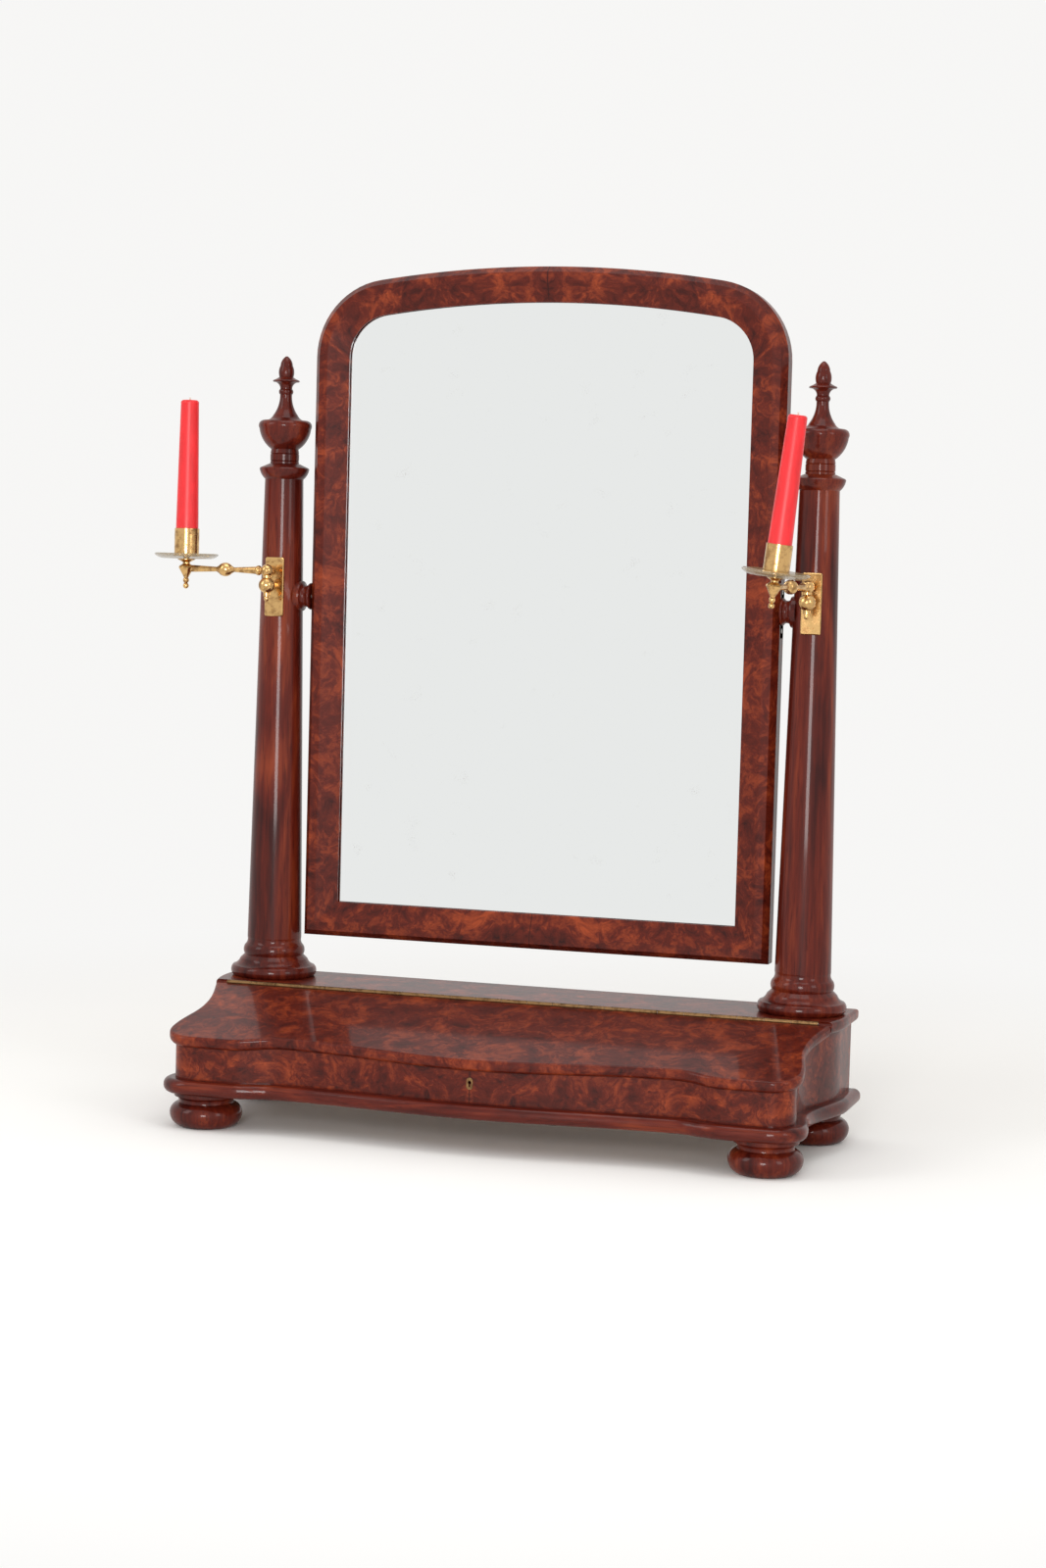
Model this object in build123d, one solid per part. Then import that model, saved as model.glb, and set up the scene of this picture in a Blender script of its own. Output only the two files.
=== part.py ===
from build123d import *
import math
import os

# A table dressing mirror: a low box with a sloping, serpentine-fronted lid stands on four bun feet.
# Two tapered turned columns carry an arch-topped swing mirror and a pair of brass candle arms.
# Millimetres. X runs to the right, Y to the back, Z up. The origin is on the floor, at the middle of the box.

# Box plan. Half widths are measured on the plain face of the box, below the lid.
BOX_DEPTH = 231.0
COLUMN_TO_SIDE = 40.0
WAIST_NARROWING = 18.0
FRONT_NARROWING = 9.5
BLOCK_LENGTH = 59.5
HOLLOW_TO_BLOCK = 49.0
HOLLOW_DEPTH = 14.5
BLOCK_SETBACK = 3.0
CORNER_RADIUS = 20.0
WAIST_FROM_FRONT = 79.0
FLARE_FROM_REAR = 52.0
SIDE_WALL_MIN = 13.0
FRONT_WALL_MIN = 10.0
BACK_WALL = 10.0

# Box heights
FOOT_HEIGHT = 33.0
MOULDING_HEIGHT = 14.0
MOULDING_PROJECTION = 11.0
BOX_HEIGHT = 90.0
TOP_OVERHANG = 6.0
TOP_BACK_OVERHANG = 3.0
REAR_BOARD_THICKNESS = 12.0
BOTTOM_BOARD_THICKNESS = 8.0
BOTTOM_BOARD_LIFT = 3.0
TOP_EDGE_ROUND = 3.0
UNDER_EDGE_ROUND = 5.5

# Lid and its long hinge
LID_SLOPE = 13.3
LID_THICKNESS = 11.5
LID_STEP = 2.5
LID_SEAT_GAP = 0.3
HINGE_FROM_BACK = 96.0
HINGE_JOINT_GAP = 0.4
HINGE_LEAF_THICKNESS = 1.0
HINGE_LEAF_HEIGHT = 7.0
HINGE_KNUCKLE_DIA = 4.4
HINGE_KNUCKLE_PITCH = 24.0
HINGE_KNUCKLE_GAP = 0.4
HINGE_PIN_DIA = 2.4
HINGE_AXIS_RISE = 0.5
HINGE_PAST_WAIST = 5.0
PARTITION_THICKNESS = 14.0
LINING_THICKNESS = 1.5
RUNNING_CLEARANCE = 0.06
GROOVE_CLEARANCE = 0.5

# Small brass wood screws of the hinge, the lock and the strike
SMALL_SCREW_DIA = 2.4
SMALL_SCREW_HEAD = 4.4
SMALL_SCREW_LENGTH = 9.0
HINGE_SCREW_PITCH = 72.0
HINGE_SCREW_ROW = 6

# Lid lock
LOCK_WIDTH = 44.0
LOCK_THICKNESS = 8.0
LOCK_HEIGHT = 27.0
LOCK_PLATE_BORDER = 6.0
BOLT_WIDTH = 14.0
BOLT_THICKNESS = 3.0
BOLT_SIDE_CLEARANCE = 0.2
BOLT_SETBACK = 1.2
BOLT_LENGTH = 15.0
STRIKE_LENGTH = 34.0
STRIKE_WIDTH = 11.0
STRIKE_THICKNESS = 1.2
STRIKE_HOLE_MARGIN = 1.4
STRIKE_POCKET_DEPTH = 6.5
KEYHOLE_HEIGHT = 66.0
KEYHOLE_DIA = 3.2
KEYHOLE_SLOT = 1.6
KEYHOLE_DROP = 4.2
ESCUTCHEON_WIDTH = 6.0
ESCUTCHEON_HEIGHT = 11.0
ESCUTCHEON_THICKNESS = 1.4
ESCUTCHEON_PROUD = 0.4

# Feet
FOOT_TOP_DIA = 60.0
FOOT_NECK_DIA = 52.0
FOOT_BUN_DIA = 68.0
FOOT_SOLE_DIA = 48.0
FOOT_COLLAR = 4.0
FOOT_NECK_RISE = 23.0
FOOT_BUN_RISE = 14.0
FOOT_INSET_X = 27.0
FOOT_INSET_FRONT = 27.0
FOOT_INSET_BACK = 34.0
FOOT_DOWEL_DIA = 16.0
FOOT_DOWEL_LENGTH = 20.0
DOWEL_CLEARANCE = 0.1

# Columns
COLUMN_FROM_BACK = 42.0
COLUMN_TOP_DIA = 37.4
COLUMN_BOTTOM_DIA = 53.0
SHAFT_TOP = 487.0
SHAFT_BOTTOM = 38.0
CAP_RING_DIA = 48.5
CAP_RING_EDGE = 10.0
CAP_RING_HEIGHT = 15.0
CAP_LEDGE = 1.0
BEAD_DIA = 60.0
BEAD_TOP = 30.0
BEAD_BOTTOM = 21.0
BEAD_QUIRK = 1.2
TORUS_DIA = 84.0
TORUS_HEIGHT = 13.0
TORUS_SOLE_DIA = 78.0
OGEE_DIA = 66.0
OGEE_RISE = 17.0
COLUMN_DOWEL_DIA = 17.0
COLUMN_DOWEL_UP = 40.0
COLUMN_BLOCK_SIZE = 46.0
COLUMN_BLOCK_HEIGHT = 24.0

# Finials
FINIAL_HEIGHT = 104.0
FINIAL_NECK_DIA = 28.0
FINIAL_NECK_HEIGHT = 12.0
FINIAL_GROOVE_DEPTH = 0.6
FINIAL_GROOVE_WIDTH = 1.2
BOWL_FOOT_DIA = 26.5
BOWL_FOOT_RISE = 14.0
BOWL_DIA = 51.5
BOWL_WIDE_RISE = 34.0
BOWL_TOP_RISE = 42.0
BOWL_TOP_DIA = 38.0
STEM_ROOT_DIA = 24.0
STEM_ROOT_RISE = 47.0
STEM_DIA = 11.6
STEM_RISE = 67.0
STEM_TOP_DIA = 14.0
DISC_DIA = 26.5
DISC_RISE = 78.0
DISC_HEIGHT = 6.0
ACORN_DIA = 15.0
ACORN_FOOT_DIA = 13.6
ACORN_TIP_DIA = 2.0
FINIAL_SPIGOT_DIA = 12.0
FINIAL_SPIGOT_LENGTH = 26.0

# Mirror frame. The section is measured from the sight edge outwards.
PIVOT_HEIGHT = 374.0
FRAME_HALF_WIDTH = 232.5
FRAME_BOTTOM = 43.0
FRAME_TOP = 692.5
FRAME_FACE = 33.5
FRAME_RIDGE_FROM_EDGE = 5.5
FRAME_STRIP = 8.0
FRAME_RIDGE_FRONT = 11.0
FRAME_EDGE_FRONT = 3.2
FRAME_SIGHT_FRONT = 3.0
FRAME_BACK = 13.0
SHOULDER_RADIUS = 75.0
CROWN_RADIUS = 1100.0
REBATE_WIDTH = 7.0
REBATE_FRONT = 1.0
GLASS_THICKNESS = 4.0
GLASS_MARGIN = 1.0
BACKBOARD_THICKNESS = 5.0
BACKBOARD_SCREW_INSET = 4.0
BACKBOARD_SCREW_DIA = 3.0
BACKBOARD_SCREW_HEAD = 6.0
BACKBOARD_SCREW_LENGTH = 10.0
BACKBOARD_LAP = 6.0
PACKING_WIDTH = 9.0
MIRROR_SCREW_PITCH = 130.0

# Mirror pivots
PIVOT_GAP = 11.84
PIVOT_PIN_DIA = 6.0
PIVOT_PIN_IN_COLUMN = 24.0
PIVOT_PIN_IN_FRAME = 16.0
PIVOT_CLEARANCE = 0.08
BOSS_DIA = 30.0
BOSS_WAIST_DIA = 21.0
BOSS_FACE_DIA = 26.0
BOSS_FRAME_GAP = 0.4
PIVOT_PLATE_HEIGHT = 50.0
PIVOT_PLATE_WIDTH = 12.0
PIVOT_PLATE_THICKNESS = 2.0
PIVOT_PLATE_SCREW_AT = 18.0

# Candle arms
SCONCE_HEIGHT = 382.5
PLATE_WIDTH = 19.0
PLATE_HEIGHT = 57.0
PLATE_THICKNESS = 3.2
PLATE_SEAT_DEPTH = 1.8
PLATE_CORNER = 2.0
PLATE_BEVEL = 0.8
PLATE_SCREW_AT = 22.5
PLATE_SCREW_DIA = 3.0
PLATE_SCREW_HEAD = 6.0
PLATE_SCREW_LENGTH = 16.0
SWING_AXIS_OUT = 19.0
BRACKET_BALL_DIA = 15.6
BRACKET_BALL_RISE = 1.5
BRACKET_FLAT = 0.9
BRACKET_NECK_DIA = 7.0
BRACKET_TAIL_DIA = 6.4
BRACKET_TAIL_LENGTH = 3.0
ARM_RISE = 15.5
ARM_LENGTH = 84.0
ARM_BALL_DIA = 12.2
ARM_SEAT_DIA = 8.0
ARM_COLLAR_DIA = 9.6
ARM_COLLAR_AT = 8.5
ARM_ROD_DIA = 5.0
ARM_END_DIA = 6.6
KNOP_DIA = 13.4
KNOP_AT = 43.0
SWING_PIN_DIA = 3.6
SWING_PIN_TIP_DIA = 5.0
SWING_PIN_TIP_LENGTH = 4.5
SWING_SEAT_GAP = 0.3
HOLDER_CUP_DIA = 15.0
HOLDER_NECK_DIA = 7.0
HOLDER_TAPER_DIA = 4.0
PENDANT_BALL_DIA = 5.6
PENDANT_DROP = 17.0
HOLDER_TOP = 8.5
HOLDER_SEAT_DIA = 17.0
HOLDER_SPIGOT_DIA = 6.0
PAN_DIA = 62.0
PAN_THICKNESS = 2.2
PAN_RIM_RISE = 3.2
PAN_RISE = 10.5
PAN_HOLE_CLEARANCE = 0.2
SOCKET_DIA = 24.0
SOCKET_WALL = 1.0
SOCKET_HEIGHT = 27.0
SOCKET_FLOOR = 3.0
SOCKET_RIM_DIA = 25.2
SOCKET_RIM_HEIGHT = 1.2
CANDLE_DIA = 21.7
CANDLE_TOP_DIA = 17.4
LEFT_CANDLE_HEIGHT = 148.0
RIGHT_CANDLE_HEIGHT = 139.0
CANDLE_SHOULDER = 4.0
WICK_DIA = 1.6
WICK_ABOVE = 2.5
WICK_BELOW = 30.0
LEFT_SWING = 180.0
RIGHT_SWING = -99.5
LEFT_ROLL = 0.5
RIGHT_ROLL = -6.5

def shaft_radius(height):
    """The plain shaft's radius at a height over the rear board."""
    share = (height - SHAFT_BOTTOM) / (SHAFT_TOP - SHAFT_BOTTOM)
    return (COLUMN_BOTTOM_DIA + (COLUMN_TOP_DIA - COLUMN_BOTTOM_DIA) * share) / 2


# Places worked out from the sizes above
BOX_FRONT_Y = -BOX_DEPTH / 2
BOX_BACK_Y = BOX_DEPTH / 2
COLUMN_Y = BOX_BACK_Y - COLUMN_FROM_BACK
HINGE_Y = BOX_BACK_Y - HINGE_FROM_BACK
MOULDING_TOP = FOOT_HEIGHT + MOULDING_HEIGHT
BOARD_TOP = FOOT_HEIGHT + BOX_HEIGHT
BOARD_BOTTOM = BOARD_TOP - REAR_BOARD_THICKNESS
CAVITY_FRONT_Y = BOX_FRONT_Y + HOLLOW_DEPTH + FRONT_WALL_MIN
CAVITY_BACK_Y = BOX_BACK_Y - BACK_WALL
LID_TOP_AT_HINGE = BOARD_TOP - LID_STEP
LID_RISE = LID_THICKNESS / math.cos(math.radians(LID_SLOPE))
HINGE_AXIS_Z = LID_TOP_AT_HINGE + HINGE_AXIS_RISE
COLUMN_X = FRAME_HALF_WIDTH + PIVOT_GAP + shaft_radius(PIVOT_HEIGHT)
BOX_HALF_REAR = COLUMN_X + COLUMN_TO_SIDE
BOX_HALF_WAIST = BOX_HALF_REAR - WAIST_NARROWING
BOX_HALF_FRONT = BOX_HALF_REAR - FRONT_NARROWING
BLOCK_AT = BOX_HALF_FRONT - BLOCK_LENGTH
HOLLOW_AT = BLOCK_AT - HOLLOW_TO_BLOCK
CAVITY_HALF_WIDTH = BOX_HALF_WAIST - SIDE_WALL_MIN
HINGE_HALF_LENGTH = BOX_HALF_WAIST + HINGE_PAST_WAIST
PIVOT_Z = BOARD_TOP + PIVOT_HEIGHT
COLUMN_TOP = SHAFT_TOP + CAP_RING_HEIGHT
FAR = 1000.0


def lid_top_z(y):
    """Height of the lid's upper face over a place y."""
    return LID_TOP_AT_HINGE - (HINGE_Y - y) * math.tan(math.radians(LID_SLOPE))


def lid_under_z(y):
    return lid_top_z(y) - LID_RISE


def box_between(x0, x1, y0, y1, z0, z1):
    centre = ((x0 + x1) / 2, (y0 + y1) / 2, (z0 + z1) / 2)
    return Pos(*centre) * Box(abs(x1 - x0), abs(y1 - y0), abs(z1 - z0))


def rod(start, end, diameter):
    """A round bar from one point to another."""
    run = Vector(*end) - Vector(*start)
    return Plane(origin=start, z_dir=run) * Cylinder(
        diameter / 2, run.length, align=(Align.CENTER, Align.CENTER, Align.MIN)
    )


def turned(*steps):
    """A turned piece about Z: each step is a radius and height, or an arc's middle and end."""
    start = steps[0]
    edges = [Line((0, start[1]), start)] if start[0] > 0 else []
    here = start
    for step in steps[1:]:
        if len(step) == 2:
            edges.append(Line(here, step))
            here = step
        else:
            edges.append(ThreePointArc(here, step[:2], step[2:]))
            here = step[2:]
    if here[0] > 0:
        edges.append(Line(here, (0, here[1])))
    edges.append(Line((0, here[1]), (0, start[1])))
    face = make_face(edges)
    return revolve(Plane.XZ * face, Axis.Z)


def countersunk_screw(point, direction, diameter, head, length):
    """A wood screw whose flat head is flush at the point and whose shank runs along the direction."""
    head_depth = (head - diameter) / 2
    body = turned(
        (head / 2, 0),
        (diameter / 2, head_depth),
        (diameter / 2, length - diameter),
        (0, length),
    )
    slot = Box(head, head * 0.16, head_depth * 0.6)
    return Plane(origin=point, z_dir=direction) * (body - slot)


def screw_hole(point, direction, diameter, head, length, clearance=0.05):
    """The countersunk hole that takes such a screw."""
    head_depth = (head - diameter) / 2
    hole = turned(
        (head / 2 + clearance, -1),
        (head / 2 + clearance, 0),
        (diameter / 2 + clearance, head_depth),
        (diameter / 2 + clearance, length + clearance),
    )
    return Plane(origin=point, z_dir=direction) * hole


def plan_face(grow, back):
    """The box's plan, grown outwards; back is how far the rear edge moves back."""
    front = BOX_FRONT_Y - grow
    rear = BOX_BACK_Y + back
    block = front + BLOCK_SETBACK
    corner = CORNER_RADIUS + grow
    side = BOX_HALF_FRONT + grow
    waist = BOX_HALF_WAIST + grow
    flare = BOX_HALF_REAR + grow
    across, along = (1, 0), (0, 1)
    centre, hollow = (0, front), (HOLLOW_AT, front + HOLLOW_DEPTH)
    block_start, block_end = (BLOCK_AT, block), (side - corner, block)
    side_start = (side, block + corner)
    side_waist = (waist, BOX_FRONT_Y + WAIST_FROM_FRONT)
    side_flare = (flare, BOX_BACK_Y - FLARE_FROM_REAR)
    half = [
        Spline(centre, hollow, tangents=(across, across)),
        Spline(hollow, block_start, tangents=(across, across)),
        Line(block_start, block_end),
        RadiusArc(block_end, side_start, -corner),
        Spline(side_start, side_waist, tangents=(along, along)),
        Spline(side_waist, side_flare, tangents=(along, along)),
        Line(side_flare, (flare, rear)),
        Line((flare, rear), (0, rear)),
    ]
    other = [mirror(edge, Plane.YZ) for edge in half]
    return make_face(half + other)


def plan_slab(grow, back, z0, z1):
    return Pos(0, 0, z0) * extrude(plan_face(grow, back), z1 - z0)


def over_lid_line(clearance):
    """Everything above the lid's underside, in front of the hinge line."""
    reach = HINGE_Y - BOX_FRONT_Y + FAR
    fall = reach * math.tan(math.radians(LID_SLOPE))
    low = lid_under_z(HINGE_Y) - clearance
    outline = Polyline(
        (HINGE_Y, low), (HINGE_Y - reach, low - fall), (HINGE_Y - reach, FAR), (HINGE_Y, FAR), close=True
    )
    return extrude(Plane.YZ * make_face(outline), FAR, both=True)


def hinge_groove():
    """The round channel that both edges leave for the hinge's knuckles."""
    span = BOX_HALF_REAR + TOP_OVERHANG + 1
    radius = HINGE_KNUCKLE_DIA / 2 + GROOVE_CLEARANCE
    return rod((-span, HINGE_Y, HINGE_AXIS_Z), (span, HINGE_Y, HINGE_AXIS_Z), 2 * radius)


def wall_block():
    """The box's walls as one thick slab, before they are cut apart."""
    slab = plan_slab(0, 0, MOULDING_TOP, BOARD_BOTTOM)
    return slab - over_lid_line(LID_SEAT_GAP)


def carcass_front():
    keep = box_between(-FAR, FAR, -FAR, CAVITY_FRONT_Y, 0, FAR)
    front = wall_block() & keep
    front -= box_between(
        -LOCK_WIDTH / 2, LOCK_WIDTH / 2, CAVITY_FRONT_Y - LOCK_THICKNESS, CAVITY_FRONT_Y + 1,
        lock_bottom(), FAR
    )
    front -= escutcheon_blank(DOWEL_CLEARANCE)
    passage = KEYHOLE_DIA + 2 * ESCUTCHEON_PROUD
    front -= rod((0, -FAR, KEYHOLE_HEIGHT), (0, CAVITY_FRONT_Y, KEYHOLE_HEIGHT), passage)
    return front


def carcass_side(side):
    outer = FAR * side
    keep = box_between(CAVITY_HALF_WIDTH * side, outer, CAVITY_FRONT_Y, FAR, 0, FAR)
    return wall_block() & keep


def carcass_back():
    return box_between(
        -CAVITY_HALF_WIDTH, CAVITY_HALF_WIDTH, CAVITY_BACK_Y, BOX_BACK_Y, FOOT_HEIGHT, BOARD_BOTTOM
    )


def moulding_block():
    """The base moulding: a bullnose that runs round the front and the sides."""
    low, high = FOOT_HEIGHT, MOULDING_TOP
    slab = plan_slab(MOULDING_PROJECTION, 0, low, high)
    nose = MOULDING_HEIGHT * 0.46
    rims = slab.faces().filter_by(Axis.Z).edges()
    rear = rims.filter_by(lambda e: e.center().Y > BOX_BACK_Y - 1)
    slab = fillet([e for e in rims if e not in rear], nose)
    cavity = box_between(
        -CAVITY_HALF_WIDTH, CAVITY_HALF_WIDTH, CAVITY_FRONT_Y, CAVITY_BACK_Y, low - 1, high + 1
    )
    return slab - cavity


def mitre_wedge(side):
    """What lies on one side of the front mitre: the front run is kept between two of these."""
    corner_x = CAVITY_HALF_WIDTH
    corner_y = CAVITY_FRONT_Y
    outline = Polyline(
        (corner_x, corner_y), (corner_x + FAR, corner_y - FAR), (corner_x + FAR, FAR), (corner_x, FAR),
        close=True
    )
    wedge = extrude(make_face(outline), FAR)
    return wedge if side > 0 else mirror(wedge, Plane.YZ)


def moulding_front():
    front = moulding_block() - mitre_wedge(1) - mitre_wedge(-1)
    return front & box_between(-FAR, FAR, -FAR, CAVITY_FRONT_Y, 0, FAR)


def moulding_side(side):
    return moulding_block() & mitre_wedge(side)


def bottom_board():
    return box_between(
        -CAVITY_HALF_WIDTH, CAVITY_HALF_WIDTH, CAVITY_FRONT_Y, CAVITY_BACK_Y,
        FOOT_HEIGHT + BOTTOM_BOARD_LIFT, bottom_board_top()
    )


def partition_front_y():
    return HINGE_Y + HINGE_JOINT_GAP / 2 + HINGE_LEAF_THICKNESS


def partition():
    """The upright board under the hinge line: it backs the compartment and takes the hinge screws."""
    front = partition_front_y()
    return box_between(
        -CAVITY_HALF_WIDTH, CAVITY_HALF_WIDTH, front, front + PARTITION_THICKNESS,
        bottom_board_top(), BOARD_BOTTOM
    )


def bottom_board_top():
    return FOOT_HEIGHT + BOTTOM_BOARD_LIFT + BOTTOM_BOARD_THICKNESS


def compartment_lining():
    low = bottom_board_top()
    return box_between(
        -CAVITY_HALF_WIDTH, CAVITY_HALF_WIDTH, CAVITY_FRONT_Y, partition_front_y(), low, low + LINING_THICKNESS
    )


def column_blocks():
    """Glue blocks under the columns, against the side walls."""
    outer = CAVITY_HALF_WIDTH
    inner = outer - COLUMN_BLOCK_SIZE
    blocks = [
        box_between(
            inner * side, outer * side, COLUMN_Y - COLUMN_BLOCK_SIZE / 2, CAVITY_BACK_Y,
            BOARD_BOTTOM - COLUMN_BLOCK_HEIGHT, BOARD_BOTTOM
        )
        for side in (-1, 1)
    ]
    return Compound(children=[block - column_dowel_hole(side) for block, side in zip(blocks, (-1, 1))])


def column_dowel_hole(side):
    return column_dowel(side, DOWEL_CLEARANCE)


def column_dowel(side, grow=0.0):
    x = COLUMN_X * side
    low = BOARD_BOTTOM - COLUMN_BLOCK_HEIGHT + BOTTOM_BOARD_LIFT - grow
    high = BOARD_TOP + COLUMN_DOWEL_UP + grow
    return rod((x, COLUMN_Y, low), (x, COLUMN_Y, high), COLUMN_DOWEL_DIA + 2 * grow)


def rear_board():
    board = plan_slab(TOP_OVERHANG, TOP_BACK_OVERHANG, BOARD_BOTTOM, BOARD_TOP)
    board = fillet(board.faces().sort_by(Axis.Z)[-1].edges(), TOP_EDGE_ROUND)
    board = fillet(board.faces().sort_by(Axis.Z)[0].edges(), UNDER_EDGE_ROUND)
    board &= box_between(-FAR, FAR, partition_front_y(), FAR, 0, FAR)
    board -= hinge_groove()
    for side in (-1, 1):
        board -= column_dowel_hole(side)
    return board


def lid():
    back = HINGE_Y - HINGE_JOINT_GAP / 2 - HINGE_LEAF_THICKNESS
    reach = FAR
    fall = reach * math.tan(math.radians(LID_SLOPE))
    top = lid_top_z(back)
    outline = Polyline(
        (back, top), (back - reach, top - fall), (back - reach, top - fall - LID_RISE),
        (back, top - LID_RISE), close=True
    )
    slope = extrude(Plane.YZ * make_face(outline), FAR, both=True)
    panel = plan_slab(TOP_OVERHANG, 0, 0, FAR) & slope
    panel = fillet(lid_rim(panel, back, 1), TOP_EDGE_ROUND)
    panel = fillet(lid_rim(panel, back, -1), UNDER_EDGE_ROUND)
    panel -= hinge_groove()
    panel -= strike_blank(DOWEL_CLEARANCE)
    panel -= strike_pocket()
    for x in strike_screw_places():
        panel -= screw_hole(*strike_screw(x))
    return panel


def lid_rim(panel, back, up):
    """The front and side edges of the lid's upper face, or of its lower face."""
    slopes = [face for face in panel.faces() if face.normal_at().Z * up > 0.9]
    return [edge for face in slopes for edge in face.edges() if edge.center().Y < back - 1]


def knuckle_spans(lid_side):
    """Start and end of each knuckle along X; the board's and the lid's take turns."""
    count = int(2 * HINGE_HALF_LENGTH // HINGE_KNUCKLE_PITCH)
    count -= 1 - count % 2
    length = 2 * HINGE_HALF_LENGTH / count
    spans = []
    for index in range(count):
        start = -HINGE_HALF_LENGTH + index * length
        if (index % 2 == 1) == lid_side:
            spans.append((start + HINGE_KNUCKLE_GAP / 2, start + length - HINGE_KNUCKLE_GAP / 2))
    return spans


def hinge_screw_places():
    """Screws sit along both leaves at one pitch, clear of the ends."""
    count = int(2 * (HINGE_HALF_LENGTH - HINGE_SCREW_PITCH / 4) // HINGE_SCREW_PITCH) + 1
    start = -(count - 1) * HINGE_SCREW_PITCH / 2
    return [start + index * HINGE_SCREW_PITCH for index in range(count)]


def hinge_screw(x, toward):
    """Place, direction and sizes of one hinge screw; toward is -1 into the lid and 1 into the board."""
    inner = HINGE_Y + toward * HINGE_JOINT_GAP / 2
    z = HINGE_AXIS_Z - HINGE_SCREW_ROW
    return (x, inner, z), (0, toward, 0), SMALL_SCREW_DIA, SMALL_SCREW_HEAD, SMALL_SCREW_LENGTH


def hinge_leaf(toward):
    """One leaf of the long hinge with its knuckles."""
    lid_side = toward < 0
    radius = HINGE_KNUCKLE_DIA / 2
    near = HINGE_Y + toward * HINGE_JOINT_GAP / 2
    far = near + toward * HINGE_LEAF_THICKNESS
    low = HINGE_AXIS_Z - radius - HINGE_LEAF_HEIGHT
    leaf = box_between(-HINGE_HALF_LENGTH, HINGE_HALF_LENGTH, near, far, low, HINGE_AXIS_Z)
    for start, end in knuckle_spans(not lid_side):
        notch = radius + GROOVE_CLEARANCE
        gap = HINGE_KNUCKLE_GAP
        leaf -= rod((start - gap, HINGE_Y, HINGE_AXIS_Z), (end + gap, HINGE_Y, HINGE_AXIS_Z), 2 * notch)
    for start, end in knuckle_spans(lid_side):
        leaf += rod((start, HINGE_Y, HINGE_AXIS_Z), (end, HINGE_Y, HINGE_AXIS_Z), 2 * radius)
    bore = HINGE_PIN_DIA + 2 * RUNNING_CLEARANCE
    leaf -= rod((-FAR, HINGE_Y, HINGE_AXIS_Z), (FAR, HINGE_Y, HINGE_AXIS_Z), bore)
    for x in hinge_screw_places():
        leaf -= screw_hole(*hinge_screw(x, toward))
    return leaf


def hinge_pin():
    end = HINGE_HALF_LENGTH
    return rod((-end, HINGE_Y, HINGE_AXIS_Z), (end, HINGE_Y, HINGE_AXIS_Z), HINGE_PIN_DIA)


def lock_bottom():
    return lid_under_z(CAVITY_FRONT_Y) - LOCK_HEIGHT


def bolt_y():
    return CAVITY_FRONT_Y - LOCK_THICKNESS / 2


def bolt_top():
    return lid_under_z(bolt_y() - BOLT_THICKNESS / 2) - LID_SEAT_GAP - BOLT_SETBACK


def lock_case():
    case = box_between(
        -LOCK_WIDTH / 2, LOCK_WIDTH / 2, CAVITY_FRONT_Y - LOCK_THICKNESS, CAVITY_FRONT_Y,
        lock_bottom(), FAR
    )
    case -= over_lid_line(LID_SEAT_GAP)
    half = BOLT_WIDTH / 2 + BOLT_SIDE_CLEARANCE
    thick = BOLT_THICKNESS / 2 + BOLT_SIDE_CLEARANCE
    floor = bolt_top() - BOLT_LENGTH
    case -= box_between(-half, half, bolt_y() - thick, bolt_y() + thick, floor - BOLT_SIDE_CLEARANCE, FAR)
    case -= rod((0, -FAR, KEYHOLE_HEIGHT), (0, bolt_y(), KEYHOLE_HEIGHT), KEYHOLE_DIA)
    for x in lock_screw_places():
        case -= screw_hole(*lock_screw(x))
    return case


def lock_screw_places():
    return [side * (LOCK_WIDTH / 2 - LOCK_PLATE_BORDER) for side in (-1, 1)]


def lock_screw(x):
    z = lock_bottom() + LOCK_PLATE_BORDER
    point = (x, CAVITY_FRONT_Y, z)
    return point, (0, -1, 0), SMALL_SCREW_DIA, SMALL_SCREW_HEAD, LOCK_THICKNESS + SMALL_SCREW_LENGTH / 3


def lock_bolt():
    return box_between(
        -BOLT_WIDTH / 2, BOLT_WIDTH / 2, bolt_y() - BOLT_THICKNESS / 2, bolt_y() + BOLT_THICKNESS / 2,
        bolt_top() - BOLT_LENGTH, bolt_top()
    )


def lid_under_plane(y):
    """A plane on the lid's underside, with its Z pointing up into the lid."""
    slope = math.radians(LID_SLOPE)
    return Plane(origin=(0, y, lid_under_z(y)), x_dir=(1, 0, 0), z_dir=(0, -math.sin(slope), math.cos(slope)))


def strike_blank(grow=0.0):
    plate = Box(
        STRIKE_LENGTH + 2 * grow, STRIKE_WIDTH + 2 * grow, STRIKE_THICKNESS,
        align=(Align.CENTER, Align.CENTER, Align.MIN)
    )
    return lid_under_plane(bolt_y()) * plate


def strike_pocket():
    half = BOLT_WIDTH / 2 + STRIKE_HOLE_MARGIN
    thick = BOLT_THICKNESS / 2 + STRIKE_HOLE_MARGIN
    top = lid_under_z(bolt_y()) + STRIKE_POCKET_DEPTH
    return box_between(-half, half, bolt_y() - thick, bolt_y() + thick, lid_under_z(bolt_y()) - 3, top)


def strike_screw_places():
    return [side * (STRIKE_LENGTH / 2 - STRIKE_WIDTH / 3) for side in (-1, 1)]


def strike_screw(x):
    plane = lid_under_plane(bolt_y())
    point = plane.origin + Vector(x, 0, 0)
    length = LID_THICKNESS * 0.7
    return (*point,), (*plane.z_dir,), SMALL_SCREW_DIA, SMALL_SCREW_HEAD, length


def strike_plate():
    plate = strike_blank() - strike_pocket()
    for x in strike_screw_places():
        plate -= screw_hole(*strike_screw(x))
    return plate


def lid_screws():
    screws = [countersunk_screw(*hinge_screw(x, -1)) for x in hinge_screw_places()]
    screws += [countersunk_screw(*strike_screw(x)) for x in strike_screw_places()]
    return Compound(children=screws)


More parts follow.
